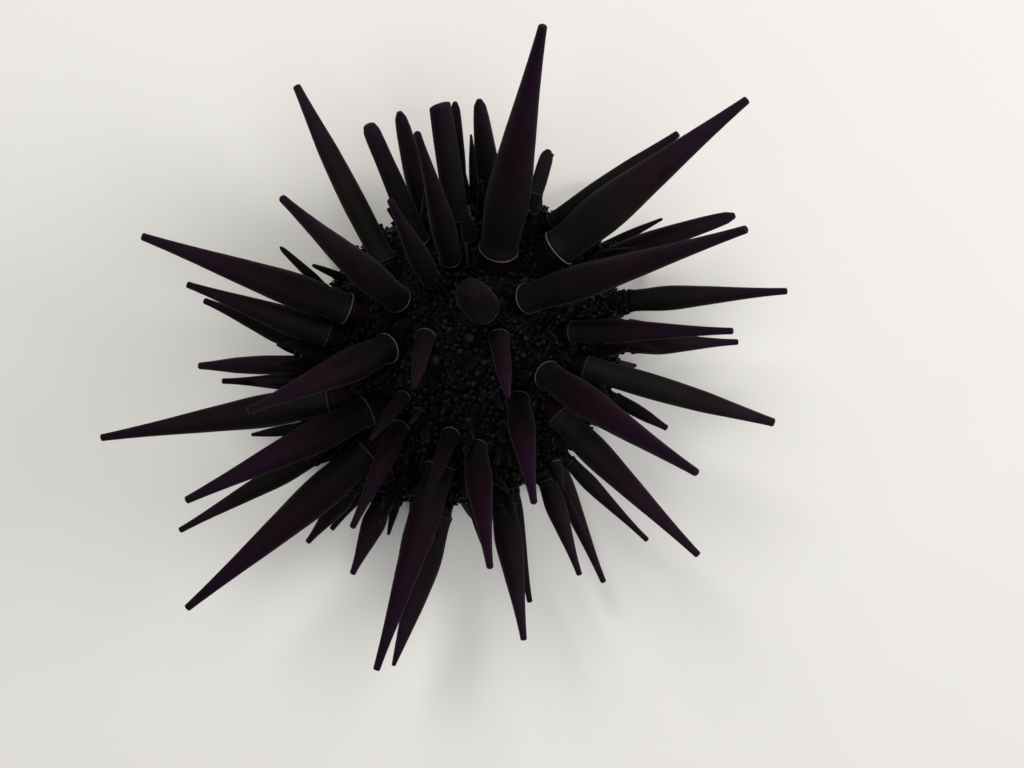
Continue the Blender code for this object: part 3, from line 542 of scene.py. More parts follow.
def straight_in(ring, tip, girth, form):
    """A spine that stands nearly square on the test, with its root sunk along its own axis."""
    way = (tip - ring).normalized()
    half = girth / 2
    back = 0.0
    while height_over_test(ring - way * back) > -SINK and back < ROOT_REACH:
        back += MARCH_STEP
    root = [(ring - way * back, half * NECK_SHARE)]
    if girth > THIN_GIRTH:
        root.append((ring - way * half * BALL_SHARE, half * NECK_SHARE))
        return [root + shaft_rows(ring, tip, girth, form)]
    length = (tip - ring).length
    return [root + [(ring + way * length * share, half * width) for share, width in form]]


def samples(rows):
    """Points and radii along a spine, close enough together to measure from."""
    found = []
    for (p, r), (q, s) in zip(rows, rows[1:]):
        steps = max(1, math.ceil((q - p).length / SAMPLE_STEP))
        for k in range(steps):
            share = k / steps
            found.append((p.lerp(q, share), r + (s - r) * share))
    found.append(rows[-1])
    return found


def boxed(points):
    """A spine's samples as an array, with the corners of its box."""
    table = np.array([(*p, r) for p, r in points])
    low = (table[:, :3] - table[:, 3:]).min(0)
    high = (table[:, :3] + table[:, 3:]).max(0)
    return table, low, high


def is_clear(new, others):
    """Whether a new spine stays clear of every other."""
    table, low, high = new
    for other, other_low, other_high in others:
        if (other_low > high + CLEARANCE).any() or (other_high < low - CLEARANCE).any():
            continue
        apart = np.linalg.norm(table[:, None, :3] - other[None, :, :3], axis=2)
        if (apart - table[:, None, 3] - other[None, :, 3]).min() < CLEARANCE:
            return False
    return True


def ray_of(p):
    """Number of the ray that a point's azimuth lies in."""
    azimuth = math.atan2(p.y, p.x) % (2 * math.pi)
    for k, edge in enumerate(RAY_EDGES):
        following = RAY_EDGES[(k + 1) % len(RAY_EDGES)]
        width = (following - edge) % (2 * math.pi)
        if (azimuth - edge) % (2 * math.pi) < width:
            return k
    return 0


def within_node(p, node):
    """How far a point is inside the cuts around its node."""
    ray, upper = node
    start = RAY_EDGES[ray]
    end = RAY_EDGES[(ray + 1) % len(RAY_EDGES)]
    from_start = p.y * math.cos(start) - p.x * math.sin(start)
    from_end = p.x * math.sin(end) - p.y * math.cos(end)
    from_level = p.z - LEVEL_CUT_HEIGHT if upper else LEVEL_CUT_HEIGHT - p.z
    return min(from_start, from_end, from_level)


def is_covered(points, seen):
    """Whether a spine would be seen only over the test or under the spines in the photo."""
    for p, r in points[:: len(points) // COVER_SAMPLES]:
        x, y = seen_at(p)
        if math.hypot(x - CORE_PIXEL[0], y - CORE_PIXEL[1]) < CORE_PIXELS:
            continue
        if (np.hypot(seen[:, 0] - x, seen[:, 1] - y) > seen[:, 2] + COVER_PIXELS).all():
            return False
    return True


def sits_clear(points, node, way):
    """Whether a spine's base keeps to its own node and off the disc and the mouth."""
    side = way.orthogonal().normalized()
    other = way.cross(side)
    for p, r in points:
        if height_over_test(p) > BASE_ZONE:
            continue
        for k in range(RIM_SAMPLES):
            turn = 2 * math.pi * k / RIM_SAMPLES
            rim = p + side * (r * math.cos(turn)) + other * (r * math.sin(turn))
            over = height_over_test(rim)
            if over < CLEARANCE and within_node(rim, node) < CUT_CLEARANCE:
                return False
            reach = math.hypot(rim.x, rim.y)
            if rim.z > AMBITUS_HEIGHT and reach < APICAL_RADIUS + GAP + CLEARANCE:
                if over < APICAL_PROUD + CLEARANCE:
                    return False
            if rim.z < AMBITUS_HEIGHT and reach < MOUTH_RADIUS + GAP + CLEARANCE:
                return False
    return True


def nudges(lifts, shifts):
    """The stated place first, then small changes of height and place, nearest first."""
    tries = [(lift, x, y) for lift in lifts for x, y in shifts]
    return sorted(tries, key=lambda t: abs(t[0]) + PIXEL_WEIGHT * math.hypot(t[1], t[2]))


def pixel_disc(p, r):
    """Where a point is seen, and its radius in pixels."""
    depth = (VIEWPOINT - p).dot(VIEW_BACK)
    return (*seen_at(p), r * FOCAL_PIXELS / depth)


def ring_lift(girth):
    """How far over the test a spine's ring stands."""
    return girth * RING_HEIGHT_SHARE / 2 + RING_LIFT


def seat_near(polar, k, count, draw):
    """Point of the test at the k-th place of a tier, moved by chance."""
    azimuth = 2 * math.pi * (k + 0.5 * draw.uniform(-1, 1)) / count
    return on_test(azimuth, math.radians(polar + draw.uniform(-POLAR_SPREAD, POLAR_SPREAD)))


def lay_out():
    """Every spine as ring, tip, girth, form, foot and kind, placed as in the solids."""
    draw = random.Random(RANDOM_SEED)
    kept = []
    spines = []
    seen = []
    tries = nudges(LIFTS, SHIFTS)

    def fits(pieces, spine, by_rule):
        """Keeps a spine if it has room."""
        if by_rule and not is_covered(samples(pieces[-1])[::-1], np.array(seen)):
            return False
        points = [point for rows in pieces for point in samples(rows)]
        root = pieces[0][0][0]
        node = (ray_of(root), root.z > LEVEL_CUT_HEIGHT)
        way = (pieces[-1][-1][0] - pieces[-1][0][0]).normalized()
        solid = boxed(points)
        if not is_clear(solid, kept) or not sits_clear(points, node, way):
            return False
        kept.append(solid)
        spines.append(spine)
        if not by_rule:
            seen.extend(pixel_disc(p, r) for p, r in points)
        return True

    for root, tip, tip_height, width, form in IN_SIGHT:
        girth = width * MM
        for lift, x, y in tries:
            ring = ring_in_sight((root[0] + x, root[1] + y), ring_lift(girth))
            end = at_height(tip, (tip_height + lift) * MM)
            spine = (ring, end, girth, form, False, "seen")
            if fits(on_boss(ring, end, girth, form), spine, False):
                break
    for tip, toward, ring_z, tip_z, width, form in UNDER_COVER:
        girth = width * MM
        for lift, x, y in tries:
            aim = (toward[0] + x, toward[1])
            ring = ring_under_cover(tip, aim, ring_z * MM + PIXEL_LIFT * y, ring_lift(girth))
            end = at_height(tip, (tip_z + lift) * MM)
            spine = (ring, end, girth, form, False, "under")
            if fits(on_boss(ring, end, girth, form[:1] + form[2:]), spine, False):
                break
    for polar, count, length, width, droop, feet, form in TIERS:
        for k in range(count):
            for attempt in range(ATTEMPTS):
                seat = seat_near(polar, k, count, draw)
                girth = max(width * draw.uniform(0.8, 1.15) * MM, MIN_GIRTH)
                ring = seat + outward(seat) * ring_lift(girth)
                way = outward(seat) + Vector((0.0, 0.0, droop + draw.uniform(-0.12, 0.12)))
                way += Vector((draw.uniform(-0.2, 0.2), draw.uniform(-0.2, 0.2), 0.0))
                way.normalize()
                reach = length * draw.uniform(0.85, 1.15) * MM
                if feet:
                    if way.z > FOOT_SLOPE:
                        continue
                    reach = -ring.z / way.z
                    if reach > FOOT_REACH * length * MM:
                        continue
                tip = ring + way * reach
                if not feet and tip.z < FLOOR_CLEARANCE:
                    continue
                spine = (ring, tip, girth, form, feet, "under" if girth > THIN_GIRTH else "short")
                if fits(straight_in(ring, tip, girth, form), spine, True):
                    break
    for polar, count, length in FILL:
        for k in range(count):
            for attempt in range(ATTEMPTS):
                seat = seat_near(polar, k, count, draw)
                girth = draw.uniform(0.6, 0.9) * MM
                ring = seat + outward(seat) * girth
                way = outward(seat)
                way += Vector((draw.uniform(-0.3, 0.3), draw.uniform(-0.3, 0.3), 0.0))
                way.normalize()
                tip = ring + way * length * draw.uniform(0.8, 1.2) * MM
                if fits(straight_in(ring, tip, girth, STUB), (ring, tip, girth, STUB, False, "short"), True):
                    break
    return spines, kept


def fitted(spines):
    """The spines with those shafts changed that the picture shows otherwise."""
    found = list(spines)
    for number, root, top, share, form in FITTED:
        ring, tip, girth, plain, foot, kind = spines[number]
        moves = [METRES_PER_PIXEL * (x * VIEW_RIGHT - y * VIEW_UP) for x, y in (root, top)]
        found[number] = (ring + moves[0], tip + moves[1], share * girth, form, foot, kind)
    return found


def discs_of(spines):
    """Pixel and radius in pixels along every spine that the picture shows."""
    rows = [row for spine in spines[:PICTURED] for row in samples(shaft_rows(*spine[:4]))]
    return np.array([pixel_disc(p, r) for p, r in rows])


def is_hidden(p, girth, seen):
    """Whether a point is seen over the test or over one of the picture's own spines."""
    x, y = seen_at(p)
    inside = seen[:, 2] - girth / 2 / METRES_PER_PIXEL
    if (np.hypot(seen[:, 0] - x, seen[:, 1] - y) < inside).any():
        return True
    level = at_height((x, y), AMBITUS_HEIGHT)
    return math.hypot(level.x, level.y) < ellipse_radius(math.atan2(level.y, level.x))


def smooth_widths(form, shares):
    """Widths between a form's stations, along a smooth line that doesn't overshoot."""
    x = np.array([s for s, w in form])
    y = np.array([w for s, w in form])
    slope = np.diff(y) / np.diff(x)
    lean = np.zeros(len(x))
    lean[0] = slope[0]
    lean[-1] = slope[-1]
    for k in range(1, len(x) - 1):
        if slope[k - 1] * slope[k] > 0:
            lean[k] = 2 * slope[k - 1] * slope[k] / (slope[k - 1] + slope[k])
    k = np.clip(np.searchsorted(x, shares, side="right") - 1, 0, len(x) - 2)
    step = x[k + 1] - x[k]
    t = (shares - x[k]) / step
    return (
        y[k] * (1 + 2 * t) * (1 - t) ** 2
        + lean[k] * step * t * (1 - t) ** 2
        + y[k + 1] * t**2 * (3 - 2 * t)
        + lean[k + 1] * step * t**2 * (t - 1)
    )


def axes_of(way):
    """Two directions square to one, and to each other, as arrays."""
    side = way.orthogonal().normalized()
    other = way.cross(side)
    return np.array(side), np.array(other)


def root_patch(p):
    """Place of a root on an unwrap of the test, with a small patch's size."""
    azimuth = (math.atan2(p.y, p.x) / (2 * math.pi)) % 1.0
    polar = math.acos(max(-1.0, min(1.0, outward(p).z))) / math.pi
    return 0.01 + 0.98 * azimuth, 0.01 + 0.98 * (1.0 - polar), PATCH, PATCH


def strip_patch(index, count):
    """A spine's place in a bake map that is cut into equal tiles."""
    across = math.ceil(math.sqrt(count))
    size = 0.96 / across
    return (
        0.02 + size * (index % across + 0.5),
        0.02 + size * (index // across + 0.5),
        0.9 * size,
        0.9 * size,
    )


def seat_of(ring, tip, girth):
    """Where a spine turns over its knob, and the point of the test under that."""
    way = (tip - ring).normalized()
    ball = ring - way * (girth / 2) * BALL_SHARE
    up = outward(ball)
    return ball - up * height_over_test(ball), up


def added(name, data):
    """A new object in the scene."""
    item = bpy.data.objects.new(name, data)
    bpy.context.scene.collection.objects.link(item)
    return item


def looped(centre, reach, angle, side, other):
    """Points round each centre, with a reach for each angle."""
    reach = reach[..., None]
    angle = angle[:, None]
    return np.array(centre)[..., None, :] + reach * np.cos(angle) * side + reach * np.sin(angle) * other


def placed(name, mesh, material):
    """A smooth object with this mesh at its place in the frame, riding on the body."""
    mesh.polygons.foreach_set("use_smooth", np.ones(len(mesh.polygons), bool))
    mesh.transform(Matrix.Translation(SHIFT))
    mesh.materials.append(material)
    item = added(name, mesh)
    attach(item, "root")
    return item


class Batch:
    """Many closed tubes gathered into one mesh with its marks and its maps."""

    def __init__(self):
        self.points = []
        self.marks = {name: [] for name in ("along", "tone", "tint", "bare", "painted_light")}
        self.quads = []
        self.quad_uv = []
        self.caps = []
        self.cap_uv = []
        self.count = 0

    def tube(self, rings, along, tone, tint, root_uv, turns=1.0, bare=None, painted_light=1.0):
        """rings is stations x sides x 3; along runs 0 to 1 or more from base to tip."""
        stations, sides = rings.shape[:2]
        size = stations * sides
        self.points += [rings.reshape(-1, 3), rings[0].mean(0)[None], rings[-1].mean(0)[None]]
        for name, value in (("tone", tone), ("tint", tint), ("painted_light", painted_light)):
            self.marks[name].append(np.full(size + 2, value))
        bare = np.zeros(stations) if bare is None else bare
        for name, row in (("along", along), ("bare", bare)):
            self.marks[name] += [np.repeat(row, sides), row[[0, -1]]]
        row, column = np.divmod(np.arange(size - sides), sides)
        after = (column + 1) % sides
        start = self.count + row * sides
        corners = [start + column, start + after, start + sides + after, start + sides + column]
        self.quads.append(np.stack(corners, 1))
        u = np.stack([column, column + 1, column + 1, column], 1) / sides
        v = np.stack([along[row], along[row], along[row + 1], along[row + 1]], 1)
        self.quad_uv.append(self.maps(u, v, root_uv, turns))
        k = np.arange(sides)
        for pole, end in enumerate((0, stations - 1)):
            one = self.count + end * sides + k
            two = self.count + end * sides + (k + 1) % sides
            if end == 0:
                one, two = two, one
            self.caps.append(np.stack([one, two, np.full(sides, self.count + size + pole)], 1))
            u = np.stack([k, k + 1, k + 0.5], 1) / sides
            self.cap_uv.append(self.maps(u, np.full((sides, 3), along[end]), root_uv, turns))
        self.count += size + 2

    def maps(self, u, v, root_uv, turns):
        """The bake map's patch, and the grain's map that runs round and along."""
        patch_u = root_uv[0] + root_uv[2] * (u - 0.5)
        patch_v = root_uv[1] + root_uv[3] * (np.clip(v, 0.0, 1.0) - 0.5)
        return np.stack([patch_u, patch_v, u * turns, v], -1)

    def done(self, name, material, slot):
        """The finished object, riding on the body."""
        mesh = bpy.data.meshes.new(name)
        points = np.concatenate(self.points).astype(np.float32)
        mesh.vertices.add(len(points))
        mesh.vertices.foreach_set("co", points.ravel())
        quads = np.concatenate(self.quads)
        caps = np.concatenate(self.caps)
        corners = np.concatenate([quads.ravel(), caps.ravel()]).astype(np.int32)
        mesh.loops.add(len(corners))
        mesh.loops.foreach_set("vertex_index", corners)
        starts = np.concatenate([np.arange(len(quads)) * 4, quads.size + np.arange(len(caps)) * 3])
        mesh.polygons.add(len(starts))
        mesh.polygons.foreach_set("loop_start", starts.astype(np.int32))
        mesh.update(calc_edges=True)
        maps = np.concatenate([patch.reshape(-1, 4) for patch in self.quad_uv + self.cap_uv])
        for layer, columns in (("OFBake", maps[:, :2]), ("grain", maps[:, 2:])):
            made = mesh.uv_layers.new(name=layer, do_init=False)
            made.data.foreach_set("uv", columns.astype(np.float32).ravel())
        for mark, values in self.marks.items():
            made = mesh.attributes.new(mark, "FLOAT", "POINT")
            made.data.foreach_set("value", np.concatenate(values).astype(np.float32))
        mesh.validate()
        return placed(name, mesh, material)


def grid_mesh(name, rows, material, pole_first=False, pole_last=False):
    """A surface through rows of points that each run once round."""
    columns = len(rows[0])
    last = (len(rows) - 1) * columns
    verts = [point for row in rows for point in row]
    faces = []
    for start in range(0, last, columns):
        for j in range(columns):
            k = (j + 1) % columns
            faces.append((start + j, start + k, start + columns + k, start + columns + j))
    if pole_first:
        verts.append(tuple(sum(c) / columns for c in zip(*rows[0])))
        faces += [((j + 1) % columns, j, len(verts) - 1) for j in range(columns)]
    if pole_last:
        verts.append(tuple(sum(c) / columns for c in zip(*rows[-1])))
        faces += [(last + j, last + (j + 1) % columns, len(verts) - 1) for j in range(columns)]
    mesh = bpy.data.meshes.new(name)
    mesh.from_pydata(verts, [], faces)
    bm = bmesh.new()
    bm.from_mesh(mesh)
    bmesh.ops.recalc_face_normals(bm, faces=bm.faces)
    bm.to_mesh(mesh)
    bm.free()
    return placed(name, mesh, material)


def main_shaft(batch, spine, number, draw, root_uv):
    """A spine from under its ring to its rounded or cut tip."""
    ring, tip, girth, form, foot, kind = spine
    way = (tip - ring).normalized()
    length = (tip - ring).length - (0.0 if foot else TIP_INSET)
    half = girth / 2
    sides, steps = SHAFT_MESH[kind]
    side, other = axes_of(way)
    shares = np.linspace(0.0, 1.0, steps) ** STATION_POWER
    widths = smooth_widths(form, shares)
    if form in (TAPERED, STRAIGHT):
        widths = np.hypot(widths, max(TIP_SHARE, TIP_LEAST / half) * shares**2)
    low_s, low_r = np.array(SHAFT_FOOT).T * half
    tip_radius = widths[-1] * half
    rise, shrink = CUT_END if form is CUT_OFF else ROUND_END
    s = np.concatenate([low_s, shares * length, length + rise * tip_radius])
    r = np.concatenate([low_r, widths * half, shrink * tip_radius])
    along = np.clip(s / length, -0.2, 1.0)
    angle = np.linspace(0, 2 * math.pi, sides, endpoint=False)
    wave = np.cos(angle[None, :] * (sides // 2))
    crest = np.where((along > CREST_ZONE[0]) & (along < CREST_ZONE[1]), CREST, 0.0)[:, None] * wave
    slow = UNEVEN * np.sin(2 * angle[None, :] + 3.0 * number + 4.0 * along[:, None])
    reach = r[:, None] * (1 + crest + slow * (along[:, None] > 0))
    arch = along.clip(0, 1) * (1 - along.clip(0, 1))
    bend = SHAFT_BEND * length * draw.uniform(-1, 1) * 4 * arch
    lean = draw.uniform(0, 2 * math.pi)
    off = side * math.cos(lean) + other * math.sin(lean)
    centre = np.array(ring) + s[:, None] * np.array(way) + bend[:, None] * off
    rings = looped(centre, reach, angle, side, other)
    bare = np.zeros(len(s))
    if form is CUT_OFF:
        aside = (rings - centre[:, None, :]) @ np.array(VIEW_RIGHT)
        ahead = (rings - centre[:, None, :]) @ np.array(VIEW_BACK)
        near_end = np.clip((along - CUT_START) / (1.0 - CUT_START), 0.0, 1.0)
        slide = near_end[:, None] * (CUT_SLOPE * aside + CUT_BACK * (ahead + CUT_OUT * half))
        rings = rings + slide[..., None] * np.array(way)
        bare[-len(rise) :] = 1.0
        bare[-len(rise) - 1] = 0.3
    if foot:
        low = rings[..., 2] < FLAT_BELOW
        low[-len(rise) :] = True
        slide = np.where(low, rings[..., 2] / way.z, 0.0)
        rings = rings - slide[..., None] * np.array(way)
    tint = 0.45 - 0.45 * way.y - 0.25 * (way.z - 0.3) + draw.uniform(-0.2, 0.2)
    tint = min(1.0, max(0.0, tint))
    # Painted light and shade: a share that makes each spine's colour lighter or darker, the short ones darker
    painted_light = 0.9 if kind == "short" else 1.0
    if number < len(SPINE_TINTS_AND_PAINTED_LIGHT):
        tint, painted_light = SPINE_TINTS_AND_PAINTED_LIGHT[number][:2]
    elif number < PICTURED:
        tint *= 0.5
    if form is EGG:
        along = EGG_COLOUR_REACH * along
    ridges = float(max(10, round(math.pi * girth / RIDGE_STEP)))
    batch.tube(rings, along, draw.random(), tint, root_uv, ridges, bare, painted_light)


def milled_ring(batch, spine, number, draw):
    """The pale toothed ring at the foot of a shaft."""
    ring, tip, girth, form, foot, kind = spine
    way = (tip - ring).normalized()
    half = girth / 2
    teeth = max(14, round(math.pi * girth / RING_TOOTH))
    angle = np.linspace(0, 2 * math.pi, teeth * RING_MESH[kind], endpoint=False)
    side, other = axes_of(way)
    cut = 0.5 - 0.5 * np.cos(angle * teeth)
    band = RING_BAND + 0.05 * half
    rings = []
    for offset, share, deep in RING_ROWS:
        reach = half * share * (1 - TOOTH_CUT * deep * cut)
        rings.append(looped(ring + way * (offset * band - 0.03 * half), reach, angle, side, other))
    bright = 0.25
    if number < len(SPINE_TINTS_AND_PAINTED_LIGHT):
        bright = SPINE_TINTS_AND_PAINTED_LIGHT[number][2]
    elif number < PICTURED:
        bright = 0.03
    along = np.linspace(0, 1, len(RING_ROWS))
    batch.tube(np.array(rings), along, draw.random(), bright, root_patch(ring), float(teeth))


def collar(batch, spine, draw):
    """The muscle that holds a spine, from the test up to the ring."""
    ring, tip, girth, form, foot, kind = spine
    way = (tip - ring).normalized()
    half = girth / 2
    seat, up = seat_of(ring, tip, girth)
    hinge = up.cross(way)
    if hinge.length < 1e-4:
        hinge = way.orthogonal()
    hinge.normalize()
    sides, steps = COLLAR_MESH[kind]
    top = ring - way * half * 0.33
    start = seat - up * COLLAR_ROOT
    angle = np.linspace(0, 2 * math.pi, sides, endpoint=False)
    lean = up.angle(way)
    rings = []
    for k in range(steps):
        t = k / (steps - 1)
        swell = math.sin(math.pi * t)
        across = (Matrix.Rotation(lean * t, 3, hinge) @ up).cross(hinge)
        centre = start.lerp(top, t) + up * (half * 0.18 * swell)
        waist = 1.04 - 0.22 * t - 0.12 * swell
        reach = half * waist * (1 + 0.018 * np.cos(angle * (sides // 4)) * swell)
        rings.append(looped(centre, reach, angle, np.array(hinge), np.array(across)))
    fibres = float(max(10, round(math.pi * girth / FIBRE_STEP)))
    along = np.linspace(0, 1, steps)
    batch.tube(np.array(rings), along, draw.random(), 0.0, root_patch(seat), fibres)


class Near:
    """Finds how near a point is to the spines already placed."""

    def __init__(self, kept):
        rows = np.concatenate([table for table, low, high in kept])
        self.radii = rows[:, 3]
        self.reach = float(self.radii.max())
        self.tree = KDTree(len(rows))
        for k, row in enumerate(rows):
            self.tree.insert(row[:3], k)
        self.tree.balance()

    def room(self, p, within):
        """Clear distance from p to the nearest spine's side, at most within."""
        best = within
        for co, index, apart in self.tree.find_range(p, within + self.reach):
            best = min(best, apart - self.radii[index])
        return best


def sown(spacing, polar_range, draw, near, room, tries):
    """Points of the test at least spacing apart and clear of what stands there."""
    cell = spacing / math.sqrt(3)
    taken = {}
    for k in range(tries):
        z = draw.uniform(math.cos(polar_range[1]), math.cos(polar_range[0]))
        p = on_test(draw.uniform(0, 2 * math.pi), math.acos(z))
        key = tuple(int(c // cell) for c in p)
        if key in taken:
            continue
        around = (taken.get(tuple(map(sum, zip(key, step)))) for step in NEIGHBOURS)
        if any(q is not None and (q - p).length < spacing for q in around):
            continue
        if near.room(p + outward(p) * ROOM_HEIGHT, room) >= room:
            taken[key] = p
    return list(taken.values())


def jittered(way, amount, draw):
    """A direction turned aside by chance."""
    return (way + Vector([draw.uniform(-amount, amount) for axis in range(3)])).normalized()


def filling(kept, seen, draw):
    """Slim spines in the bare places of the flanks, clear of those already there."""
    near = Near(kept)
    added = []
    for p in sown(FILLING_SPACING, FILLING_ZONE, draw, near, FILLING_ROOM, 12000):
        up = outward(p)
        girth = draw.uniform(1.02, 1.5) * MM
        ring = p + up * ring_lift(girth)
        longest = draw.uniform(3.2, 5.0) if up.z > 0.3 else draw.uniform(5.5, 9.0)
        for attempt in range(16):
            way = jittered(up, 0.35, draw)
            length = longest * (1 - 0.05 * attempt) * MM
            tip = ring + way * length
            if tip.z < FILLING_CLEARANCE:
                continue
            needed = [(t, girth / 2 * (1.05 - 0.8 * t) + SLIM_GAP) for t in np.linspace(0.04, 1.0, 9)]
            if any(near.room(ring + way * (length * t), ROOM_SOUGHT) < gap for t, gap in needed):
                continue
            if not all(is_hidden(ring.lerp(tip, t), girth * (1.2 - t), seen) for t in FILLING_STATIONS):
                continue
            form = draw.choice((TAPERED, SHORT, SLIM))
            added.append((ring, tip, girth, form, False, "short"))
            kept.append(boxed(samples(shaft_rows(ring, tip, girth, form))))
            break
    return added


def profile_of(rows, length, half):
    """Distances and radii from rows of millimetres, share of the length and share of the radius."""
    return [(mm * MM + share * length, half * width) for mm, share, width in rows]


def turned(batch, foot, way, profile, sides, draw, tint, bend=0.0, lobes=0, tone=None):
    """A small form turned about a line from rows of distance and radius in metres."""
    s, r = np.array(profile).T
    side, other = axes_of(way)
    angle = np.linspace(0, 2 * math.pi, sides, endpoint=False) + draw.uniform(0, 6)
    along = s / s[-1]
    reach = r[:, None] * np.ones(sides)
    if lobes:
        reach = reach * (1 + 0.16 * np.cos(lobes * angle)[None, :] * (along > 0.6)[:, None])
    centre = np.array(foot) + s[:, None] * np.array(way)
    centre = centre + (bend * along**2)[:, None] * np.array((0.0, 0.0, -1.0))
    rings = looped(centre, reach, angle, side, other)
    rings[..., 2] = np.maximum(rings[..., 2], LOWEST_FORM)
    drawn = 0.96 * draw.random()
    tone = drawn if tone is None else tone
    batch.tube(rings, along, tone, tint, root_patch(foot), float(max(6, sides)))


def seen_forms(batches, draw):
    """The knobs, small spines and feet that stand out in the middle of the picture."""
    for pixel, width, rise, tone in KNOBS_SEEN:
        p = ring_in_sight(pixel, 0.4 * MM)
        half = width * MM / 2
        profile = profile_of(KNOB_STALK_ROWS, rise * MM, half)
        for turn in (0, 20, 40, 60, 80):
            angle = math.radians(turn)
            profile.append((rise * MM + 0.6 * half * math.sin(angle), half * math.cos(angle)))
        turned(batches["knobs"], p, outward(p), profile, 20, draw, 0.5, tone=tone)
    for pixel, width, length in SHORTS_SEEN:
        p = ring_in_sight(pixel, 0.3 * MM)
        away = Vector((p.x, p.y, 0.0)).normalized()
        way = (outward(p) + 0.7 * away).normalized()
        profile = profile_of(SHORT_SEEN_ROWS, length * MM, width * MM / 2)
        turned(batches["short_spines"], p, way, profile, 18, draw, 0.5, tone=1.0)
    for root, top in FEET_SEEN:
        p = ring_in_sight(root, 0.1 * MM)
        way = VIEW_RIGHT * ((top[0] - root[0]) * METRES_PER_PIXEL)
        way += VIEW_UP * ((root[1] - top[1]) * METRES_PER_PIXEL) + VIEW_BACK * 0.8 * MM
        profile = profile_of(FOOT_SEEN_ROWS, way.length, MM)
        turned(batches["tube_feet"], p, way.normalized(), profile, 14, draw, 0.5, tone=1.0)


def short_spines(batch, near, seen, draw):
    """Short spines between the large ones."""
    for p in sown(SECONDARY_SPACING, SECONDARY_ZONE, draw, near, 0.28 * MM, 16000):
        up = outward(p)
        way = jittered(up, 0.45, draw)
        length = draw.uniform(1.1, 2.4) * MM
        half = draw.uniform(0.16, 0.28) * MM
        stations = [p + way * length * share for share in (0.35, 0.7, 1.0)]
        crowded = any(near.room(q, half + 0.1 * MM) < half + 0.05 * MM for q in stations)
        if crowded or not is_hidden(p + way * length, half, seen):
            length *= 0.45
            way = up
        if is_hidden(p + way * length, 0.0, seen):
            turned(batch, p, way, profile_of(SHORT_ROWS, length, half), 10, draw, draw.random())


def granules(batches, near, seen, draw):
    """Stalked granules all over the test."""
    grains = sown(GRANULE_SPACING, GRANULE_ZONE, draw, near, GRANULE_ROOM, 20000)
    upper = len(grains)
    grains += sown(LOW_GRANULE_SPACING, LOW_GRANULE_ZONE, draw, near, GRANULE_ROOM, 18000)
    for k, p in enumerate(grains):
        up = outward(p)
        way = jittered(up, 0.3, draw)
        size = draw.uniform(0.12, 0.36) * MM
        rise = draw.uniform(0.3, 1.0) * MM
        if math.hypot(p.x, p.y) < APICAL_RADIUS:
            p = p + up * DISC_LIFT
        if not is_hidden(p + way * rise, 0.0, seen):
            rise *= 0.4
        profile = profile_of(GRANULE_ROWS, rise, size)
        lobes = 3 if draw.random() < 0.25 else 0
        batch = batches["knobs" if k < upper else "knobs_below"]
        turned(batch, p, way, profile, 8, draw, draw.random(), lobes=lobes)


def tube_feet(batch, near, seen, draw):
    """Ringed feet with a sucking disc, in the five bands that have them."""
    made = 0
    for k in range(FEELER_COUNT * 10):
        if made >= FEELER_COUNT:
            break
        polar = math.radians(draw.uniform(70, 143))
        azimuth = draw.uniform(0, 2 * math.pi)
        share = ((azimuth - LONG_AXIS_AZIMUTH) / FIFTH) % 1.0
        if abs(share - 0.5) <= 0.31:
            continue
        p = on_test(azimuth, polar)
        way = jittered(outward(p), 0.5, draw)
        length = draw.uniform(1.0, 2.2) * MM
        half = draw.uniform(0.14, 0.2) * MM
        stations = [p + way * length * t for t in FEELER_STATIONS]
        if any(near.room(q, 0.45 * MM) < 0.3 * MM for q in stations):
            continue
        profile = [(-0.3 * MM, half)]
        for step in range(1, FOOT_RINGS):
            t = step / FOOT_RINGS
            profile.append((t * length, half * (1.0 - 0.25 * t + (0.08 if step % 2 else -0.08))))
        profile += profile_of(SUCKER_ROWS, length, half)
        if is_hidden(p + way * length, 0.0, seen):
            tint = draw.random()
            turned(batch, p, way, profile, 12, draw, tint, bend=draw.uniform(0, 0.8) * MM)
            made += 1


def mouth_fringe(batch, draw):
    """Ten short thick feet on the membrane, and five pairs of branched gills at its edge."""
    for k in range(2 * TEETH):
        azimuth = FIFTH * (k // 2 + 0.5) + (0.17 if k % 2 else -0.17)
        p = around(azimuth, BUCCAL_OUT, MOUTH_LOW + 0.1 * MM)
        way = around(azimuth, 0.35, -1.0).normalized()
        profile = profile_of(BUCCAL_ROWS, 0.0, MM)
        turned(batch, p, way, profile, 16, draw, draw.random())
    for k in range(2 * TEETH):
        azimuth = FIFTH * (k // 2) + (0.16 if k % 2 else -0.16)
        for branch in range(9):
            turn = azimuth + draw.uniform(-0.09, 0.09)
            p = around(turn, draw.uniform(5.15, 5.6) * MM, MOUTH_LOW + 0.55 * MM)
            way = around(turn, draw.uniform(0.2, 1.0))
            way += Vector((draw.uniform(-0.4, 0.4), draw.uniform(-0.4, 0.4), -0.9))
            length = draw.uniform(0.7, 1.3) * MM
            profile = profile_of(GILL_ROWS, length, MM)
            turned(batch, p, way.normalized(), profile, 9, draw, draw.random())


